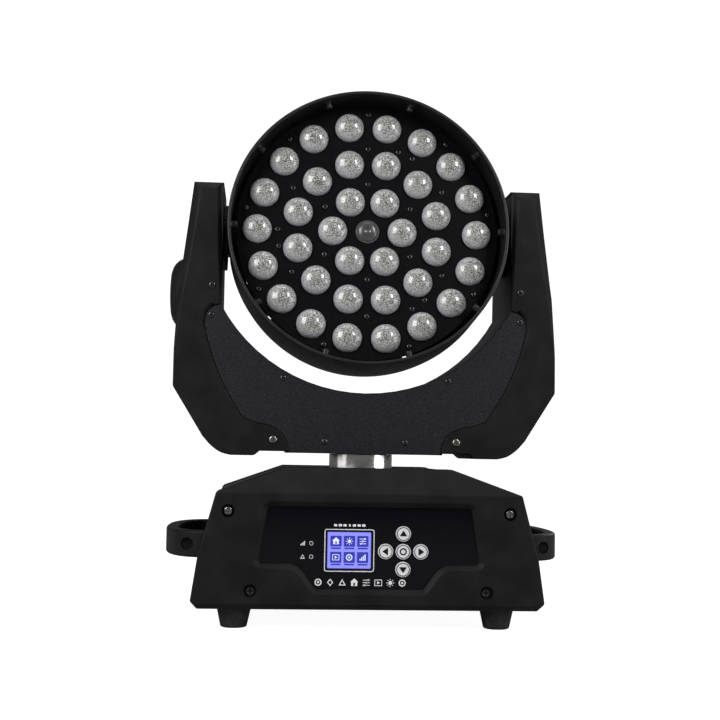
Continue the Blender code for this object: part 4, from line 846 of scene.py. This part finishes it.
ARM_BENDS = [(159.6, ARM_TOP), (171.5, 293.0), (173.8, 240.5), (173.8, 207.2)]
ARM_OUTER = (finer(ARM_BENDS, 12.0)
             + smooth([(146.3, 163.0), (138.5, 154.5), (129.9, 148.6), (120.9, 146.2)])
             + [(99.6, 146.2), (95.0, COVER_BOTTOM)])
ARM_CLOSED = ([(40.0, COVER_BOTTOM), (40.0, ARM_TOP)] + ARM_OUTER)[::-1]
CHAMFER = [(395.0, 6.0), (355.0, 6.4), (306.0, 5.0), (282.0, 3.4), (250.0, 1.2), (239.0, 0.9)]
LEAST_EDGE = 0.7


def chamfer_width(x, z):
    """How wide the arm's edge is cut: widest near its top, and fading at its bend."""
    if x < ARM_INNER_X - 0.1 or (x < ARM_INNER_X + 6 and z < ARM_TOP - 1):
        return LEAST_EDGE
    for (high, wide), (low, narrow) in zip(CHAMFER, CHAMFER[1:]):
        if z >= low:
            return narrow + (wide - narrow) * (z - low) / (high - low)
    return LEAST_EDGE


def arm_covers():
    """The moulded arms: shells open towards the head, their upper edges cut at a slant."""
    seam = [point for point in beside(seam_line(), -SEAM_GAP) if point[1] > COVER_BOTTOM + 1]
    seam = [(seam[0][0] - 0.1, COVER_BOTTOM), *seam[:-1], (ARM_INNER_X, seam[-1][1])]
    top = [(ARM_INNER_X, ARM_TOP), (ARM_INNER_X + 6, ARM_TOP)]
    whole = fillet(ARM_OUTER, 5.0, closed=False) + seam + top
    whole = whole[::-1]
    slant = [(0.0, 1.3), (0.07, 1.0), (1.0, 0.07), (1.3, 0.0)]
    for name, side in SIDES:
        cuts = [chamfer_width(x, z) for x, z in whole]
        outline = [(side * x, z) for x, z in whole]
        if side < 0:
            outline, cuts = outline[::-1], cuts[::-1]
        solid = Solid("XZ")
        rings = []
        levels = [(a, -1, b) for a, b in slant[::-1]] + [(a, 1, b) for a, b in slant]
        for across, sign, down in levels:
            corners = inset(outline, [cut * across for cut in cuts])
            rings.append([solid.ring([corner], sign * (YOKE_HALF_DEPTH - cut * down))[0]
                          for corner, cut in zip(corners, cuts)])
        for first, second in zip(rings, rings[1:]):
            solid.wall(first, second)
        solid.cap(rings[0])
        solid.cap(rings[-1])
        pocket = Solid("XZ")
        depth = YOKE_HALF_DEPTH - ARM_WALL
        pocket.slab(sided(inset(ARM_CLOSED, ARM_WALL), side), -depth, depth, edge=0.1, steps=1)
        tools = [pocket.object("pocket")]
        if side < 0:
            hole = Solid("YZ")
            hole.lathe([(0, -190), (31.0, -190), (31.0, -140), (0, -140)], 64, (0, CAP_Z))
            tools.append(hole.object("hole"))
        cover = carve(solid.object(f"arm_shell_{name}"), *tools)
        dress(cover, "moulded", "yoke", f"{name}_arm_cover")


def motor_cap():
    profile = [(0, -181.0), (14.0, -180.9), (20.0, -180.3), (24.5, -178.9), (28.0, -176.8),
               (31.0, -173.6), (33.4, -169.0), (34.8, -164.0), (CAP_RADIUS, -158.0)]
    inner = [(CAP_RADIUS - 2.2, -158.0), (32.0, -165.0), (28.6, -172.0), (22.0, -177.0),
             (0, -178.8)]
    solid = Solid("YZ")
    solid.lathe(profile + inner, 96, (0, CAP_Z))
    trim = Solid("XZ")
    trim.slab(sided(inset(ARM_CLOSED, -0.3), -1), -60, 60, edge=0.05, steps=1)
    dress(carve(solid.object("motor_cap_shell"), trim.object("trim")), "moulded", "yoke",
          "motor_cap")


def yoke_plates():
    """The speckled plates of the yoke's middle, front and rear, and their screws."""
    half = seam_line()
    top = floor_arc(ARC_RADIUS + 0.3)[1:-1]
    outline = half + top + [(-x, z) for x, z in reversed(half)]
    for name, turn in (("front", 0), ("rear", 180)):
        place = Matrix.Rotation(math.radians(turn), 4, "Z")
        plate = Solid("XZ", place)
        plate.slab(outline, *PLATE_DEPTHS, edge=0.35)
        dress(plate.object(f"yoke_skin_{name}"), "powder", "yoke", f"yoke_{name}_plate")
        dark, bright = Solid("XZ", place), Solid("XZ", place)
        for side in (-1, 1):
            for x, z in PLATE_SCREWS:
                dark.screw(side * x, z, PLATE_DEPTHS[1], 2.7, 1.2)
            for solid, (x, z), radius in ((dark, HIGH_SCREW, 3.1), (bright, LOW_SCREW, 3.7)):
                solid.screw(side * x, z, YOKE_HALF_DEPTH - 0.2, radius, 1.4)
        dress(dark.object(f"plate_screws_{name}"), "dark_screw", "yoke")
        backing = Solid("XZ", place)
        strip = ribbon(beside(half[:-8], SEAM_BACKING_WIDTH / 2), -SEAM_BACKING_WIDTH)[::-1]
        for side in (-1, 1):
            backing.slab(sided(strip, side), *SEAM_BACKING_DEPTHS, edge=0.1, steps=1)
        dress(backing.object(f"seam_backing_{name}"), "satin", "yoke")
        dress(bright.object(f"cover_screws_{name}"), "screw", "yoke")


# ======== head

def front_ring():
    outer, inner = RING_RADIUS, RING_RADIUS - RING_WALL
    profile = fillet([(outer, RING_BACK), (outer, RING_FRONT), (inner, RING_FRONT),
                      (inner, RING_BACK)], [0.4, 1.6, 1.0, 0.4], steps=5)
    solid = Solid("XZ", HEAD)
    solid.lathe(profile, 192, closed=True)
    ring = carve(solid.object("ring_shell"), hub_cutter())
    dress(ring, "satin", "head", "front_ring")
    pegs = Solid("YZ")
    for k in range(PEG_COUNT):
        pegs.place = HEAD @ Matrix.Rotation(math.radians(-360 / PEG_COUNT * k), 4, "Y")
        pegs.lathe([(0, PEG_INNER), (PEG_RADIUS - 0.9, PEG_INNER),
                    (PEG_RADIUS - 0.3, PEG_INNER + 0.3), (PEG_RADIUS, PEG_INNER + 0.9),
                    (PEG_RADIUS, inner - 1.0), (PEG_RADIUS + 0.9, inner),
                    (PEG_RADIUS + 0.9, inner + 1.4), (0, inner + 1.4)],
                   28, (-PEG_FORWARD, 0))
    dress(pegs.object("ring_pegs"), "satin", "head")


def ring_shelf():
    """A dark sleeve and flange that close the joint of ring and housing from inside."""
    solid = Solid("XZ", HEAD)
    profile = [(119.0, 9.0), (119.0, 7.0), (123.2, 7.0), (123.2, -12.0), (124.2, -12.0),
               (124.2, 7.0), (125.2, 7.0), (125.2, 9.0)]
    solid.lathe(profile[::-1], 128, closed=True)
    dress(carve(solid.object("ring_shelf"), hub_cutter()), "satin", "head")


def hub_cutter():
    cutter = Solid("YZ", HEAD)
    for side in (-1, 1):
        low, high = sorted(side * x for x in HUB_NOTCH_X)
        cutter.lathe([(0, low), (HUB_NOTCH, low), (HUB_NOTCH, high), (0, high)], 64)
    return cutter.object("hub_cutter")


def rear_housing():
    """The bowl behind the ring, with slanted cooling slots and a round grille."""
    line = smooth(HOUSING, 8)
    rear = HOUSING[-1][1]
    hole = GRILLE_RADIUS + 0.3
    inside = [(r - HOUSING_WALL, d) for r, d in line[:-2]] + [(83.0, rear + HOUSING_WALL)]
    profile = line + [(hole, rear), (hole, rear + HOUSING_WALL)] + inside[::-1]
    solid = Solid("XZ", HEAD)
    solid.lathe(profile, 144, closed=True)
    slots = Solid("YZ")
    for k in range(COOLING_SLOTS):
        beside_hub = k % 9 in (4, 5) and k // 9 in (0, 2)
        if beside_hub:
            continue
        slots.place = HEAD @ Matrix.Rotation(math.radians(10 * k + 5), 4, "Y")
        slots.slab(rectangle(*COOLING_SLOT, (COOLING_SLOT_DEPTH, 0.0), 2.15), 95.0, 128.0,
                   edge=0.1, steps=1)
    housing = carve(solid.object("rear_bowl"), hub_cutter(), slots.object("slots"))
    dress(housing, "satin", "head", "rear_housing")
    grille = Solid("XZ", HEAD)
    holes = []
    for radius, count in GRILLE_RINGS:
        for k in range(count):
            middle, half = 360 / count * k, 180 / count - 130 / radius
            holes.append(arc((0, 0), radius + 2.7, middle - half, middle + half, 8)
                         + arc((0, 0), radius - 2.7, middle + half, middle - half, 8))
    grille.slab(circle(GRILLE_RADIUS, 96), *GRILLE_SPAN, holes=holes, edge=0.5, steps=2)
    dress(grille.object("fan_grille"), "powder", "head", "rear_grille")


def fan_rotor():
    """Twisted blades on a cup."""
    solid = Solid("XZ", HEAD)
    solid.lathe([(0, -43.5), (13.0, -43.5), (14.6, -43.0), (15.2, -41.8), (15.2, -29.5),
                 (13.5, -29.2), (0, -29.2)], 48)
    root = BLADE_RADII[0]
    for blade in range(FAN_BLADES):
        sheets = []
        for lift in (-0.45, 0.45):
            sheet = []
            for radius in BLADE_RADII:
                wrap = math.radians(44 - (radius - root) * 0.7)
                start = 2 * math.pi / FAN_BLADES * blade + (radius - root) * 0.012
                row = []
                for t in (0.0, 0.25, 0.5, 0.75, 1.0):
                    angle = start + wrap * t
                    depth = BLADE_BACK + BLADE_RISE * t + BLADE_BOW * math.sin(math.pi * t) + lift
                    row.append((radius * math.cos(angle), radius * math.sin(angle), depth))
                sheet.append(row)
            sheets.append(sheet)
        verts = [[[solid.ring([(u, v)], w)[0] for u, v, w in row] for row in sheet]
                 for sheet in sheets]
        rows, columns = len(verts[0]), len(verts[0][0])
        for sheet in verts:
            for i in range(rows - 1):
                for j in range(columns - 1):
                    solid.work.faces.new((sheet[i][j], sheet[i][j + 1], sheet[i + 1][j + 1],
                                          sheet[i + 1][j]))
        rim = ([(i, 0) for i in range(rows)] + [(rows - 1, j) for j in range(1, columns)]
               + [(i, columns - 1) for i in range(rows - 2, -1, -1)]
               + [(0, j) for j in range(columns - 2, 0, -1)])
        solid.wall([verts[0][i][j] for i, j in rim], [verts[1][i][j] for i, j in rim])
    dress(solid.object("fan_blades"), "socket", "fan", "head_fan_rotor")


def lens_places():
    return [polar(radius, first + 360 / count * k)
            for radius, count, first in LENS_RINGS for k in range(count)]


def lens_plate():
    holes = [circle(LENS_RADIUS + 0.3, 40, place) for place in lens_places()]
    holes.append(circle(11.3, 40))
    solid = Solid("XZ", HEAD)
    solid.slab(circle(PLATE_RADIUS, 180), PLATE_FRONT - PLATE_THICK, PLATE_FRONT, holes, edge=0.4)
    for angle in ZOOM_ANGLES:
        solid.lathe([(2.4, 14.0), (ZOOM_SLEEVE_RADIUS, 14.0), (ZOOM_SLEEVE_RADIUS, 33.9),
                     (2.4, 33.9)], 32, polar(ZOOM_RADIUS, angle), closed=True)
    # The plate takes the darker powder copy: painted shade for its place inside the ring.
    dress(solid.object("lens_holder"), "shaded_powder", "lens_carriage", "lens_plate")
    screws = Solid("XZ", HEAD)
    for radius, angles in LENS_PLATE_SCREWS:
        for angle in angles:
            screws.screw(*polar(radius, angle), PLATE_FRONT, 2.5, 1.5)
    dress(screws.object("lens_plate_screws"), "dark_screw", "lens_carriage")


def name_lens_places(mesh, domes):
    """Keep, at each corner of a lens, how far it lies from its own lens's middle."""
    layer = mesh.uv_layers.new(name="lens")
    back = HEAD.inverted()
    local = [back @ (vertex.co / MM) for vertex in mesh.vertices]
    middles = []
    for point in local:
        middles.append(min(domes, key=lambda dome: math.dist((point.x, point.z), dome[0])))
    for loop in mesh.loops:
        point, ((x, z), radius) = local[loop.vertex_index], middles[loop.vertex_index]
        layer.data[loop.index].uv = ((point.x - x) / radius, (point.z - z) / radius)


def lenses():
    """Thirty-six pebbled domes, and a small dark one in the middle."""
    solid = Solid("XZ", HEAD)
    domes = [(place, LENS_RADIUS) for place in lens_places()]
    dome = [(LENS_RADIUS * math.cos(a), LENS_RIM + LENS_HEIGHT * math.sin(a))
            for a in (math.radians(90 * k / 11) for k in range(1, 11))]
    for place, radius in domes:
        solid.lathe([(0, LENS_BACK), (radius - 0.5, LENS_BACK), (radius, LENS_BACK + 0.5),
                     (radius, LENS_RIM)] + dome + [(0, LENS_RIM + LENS_HEIGHT)], 40, place)
    array = solid.object("lens_domes")
    name_lens_places(array.data, domes)
    dress(array, "lens", "lens_carriage", "lens_array", angle=50)
    middle = Solid("XZ", HEAD)
    middle.lathe([(0, LENS_BACK), (11.0, LENS_BACK), (11.0, 36.6), (10.6, 37.1), (10.2, 37.1),
                  (9.9, 36.9), (9.3, 38.2), (8.0, 39.5), (6.0, 40.2), (3.6, 40.5), (2.9, 40.5),
                  (2.5, 40.1), (0, 39.9)], 64)
    window = middle.object("middle_lens")
    name_lens_places(window.data, [((0.0, 0.0), 11.0)])
    dress(window, "smoked", "lens_carriage", angle=50)


def tilt_hubs():
    """Black toothed flanges beside the ring, on their hollow shafts."""
    for name, side in SIDES:
        hub = Solid("YZ", HEAD)
        low, high = sorted(side * x for x in HUB_FLANGE_X)
        teeth = [polar(HUB_TEETH[k % 4 // 2], 360 / HUB_CORNERS * k) for k in range(HUB_CORNERS)]
        hub.slab(teeth, low, high, [circle(HUB_RADIUS, 64)], edge=0.35, steps=2)
        first, last = side * HUB_ROOT_X, side * (HUB_LEFT_X if side < 0 else HUB_RIGHT_X)
        hub.lathe(fillet([(HUB_RADIUS, last), (HUB_RADIUS, first), (HUB_BORE, first),
                          (HUB_BORE, last)], 0.5), 64, closed=True)
        dress(hub.object(f"tilt_flange_{name}"), "powder", "head", f"tilt_hub_{name}")


# ======== studio

LIGHTS = [("key", (-1.3, -1.4, 1.15), 1.0, 1.2, 34.0),      # place and size in metres, watts
          ("fill", (1.0, -1.25, 1.2), 0.35, 0.6, 14.0),
          ("left", (-1.9, -0.45, 0.4), 1.3, 0.7, 3.5),
          ("right", (1.8, -0.7, 0.4), 1.4, 0.7, 12.0),
          ("top", (0.0, -0.1, 2.2), 1.4, 1.0, 11.0),
          ("rim", (1.3, 1.5, 1.3), 0.8, 1.2, 12.0)]
LIGHTS_AIM = (0.0, 0.0, 0.26)
FLOOR_REACH = 12.0
CAMERA_PLACE, CAMERA_LENS = (-0.0941, -1.2004, 0.1503), 63.8
CAMERA_YAW, CAMERA_PITCH, CAMERA_ROLL = 4.385, 4.15, 1.0    # degrees


def stage():
    """A white floor that runs into a white background, and soft lights."""
    bpy.context.scene.view_settings.view_transform = "Standard"
    mesh = bpy.data.meshes.new("floor")
    corners = [(x, y, 0) for x, y in rectangle(2 * FLOOR_REACH, 2 * FLOOR_REACH)]
    mesh.from_pydata(corners, [], [(0, 1, 2, 3)])
    floor = bpy.data.objects.new("floor", mesh)
    bpy.context.scene.collection.objects.link(floor)
    paper = Nodes("floor_paper", (0.4, 0.4, 0.4), 0.9, Emission_Color=(1, 1, 1, 1),
                  Specular_IOR_Level=0.1)
    paper.feed("Roughness", paper.span(paper.noise(8.0, 2.0), 0.85, 0.95))
    path = paper.add("ShaderNodeLightPath")
    paper.feed("Emission Strength", paper.span(path.outputs["Is Camera Ray"], 0.0, 0.95))
    mesh.materials.append(paper.material)

    world = bpy.data.worlds.new("studio")
    bpy.context.scene.world = world
    world.use_nodes = True
    tree = world.node_tree
    dim = tree.nodes["Background"]
    dim.inputs["Color"].default_value = (1, 1, 1, 1)
    dim.inputs["Strength"].default_value = 0.16
    white = tree.nodes.new("ShaderNodeBackground")
    white.inputs["Color"].default_value = (1, 1, 1, 1)
    white.inputs["Strength"].default_value = 1.1
    path = tree.nodes.new("ShaderNodeLightPath")
    mix = tree.nodes.new("ShaderNodeMixShader")
    tree.links.new(path.outputs["Is Camera Ray"], mix.inputs["Fac"])
    tree.links.new(dim.outputs[0], mix.inputs[1])
    tree.links.new(white.outputs[0], mix.inputs[2])
    tree.links.new(mix.outputs[0], tree.nodes["World Output"].inputs["Surface"])

    for name, place, width, height, power in LIGHTS:
        data = bpy.data.lights.new(name, "AREA")
        data.shape, data.size, data.size_y, data.energy = "RECTANGLE", width, height, power
        lamp = bpy.data.objects.new(name, data)
        lamp.location = place
        aim = Vector(LIGHTS_AIM) - Vector(place)
        lamp.rotation_euler = aim.to_track_quat("-Z", "Y").to_euler()
        bpy.context.scene.collection.objects.link(lamp)


def camera():
    data = bpy.data.cameras.new("camera")
    data.lens, data.sensor_width = CAMERA_LENS, 36.0
    data.clip_start, data.clip_end = 0.02, 60.0
    shooter = bpy.data.objects.new("camera", data)
    bpy.context.scene.collection.objects.link(shooter)
    yaw, pitch, roll = (math.radians(a) for a in (CAMERA_YAW, CAMERA_PITCH, CAMERA_ROLL))
    forward = Vector((math.sin(yaw) * math.cos(pitch), math.cos(yaw) * math.cos(pitch),
                      math.sin(pitch)))
    right = Vector((math.cos(yaw), -math.sin(yaw), 0.0))
    up = right.cross(forward)
    across = right * math.cos(roll) + up * math.sin(roll)
    upward = up * math.cos(roll) - right * math.sin(roll)
    turn = Matrix((across, upward, -forward)).transposed().to_4x4()
    shooter.matrix_world = Matrix.Translation(CAMERA_PLACE) @ turn
    bpy.context.scene.camera = shooter


# ======== assembly

camera()
bezel("front_end", 1, panel_opening(), 3.0, "front_bezel")
bezel("rear_end", -1, rectangle(186.0, 66.0, (0.0, 69.0)), 4.0, "rear_bezel")
base_screws()
top_cover()
control_panel()
handles()
feet()
shaft()
arm_covers()
motor_cap()
yoke_plates()
front_ring()
ring_shelf()
rear_housing()
fan_rotor()
lens_plate()
lenses()
tilt_hubs()
stage()
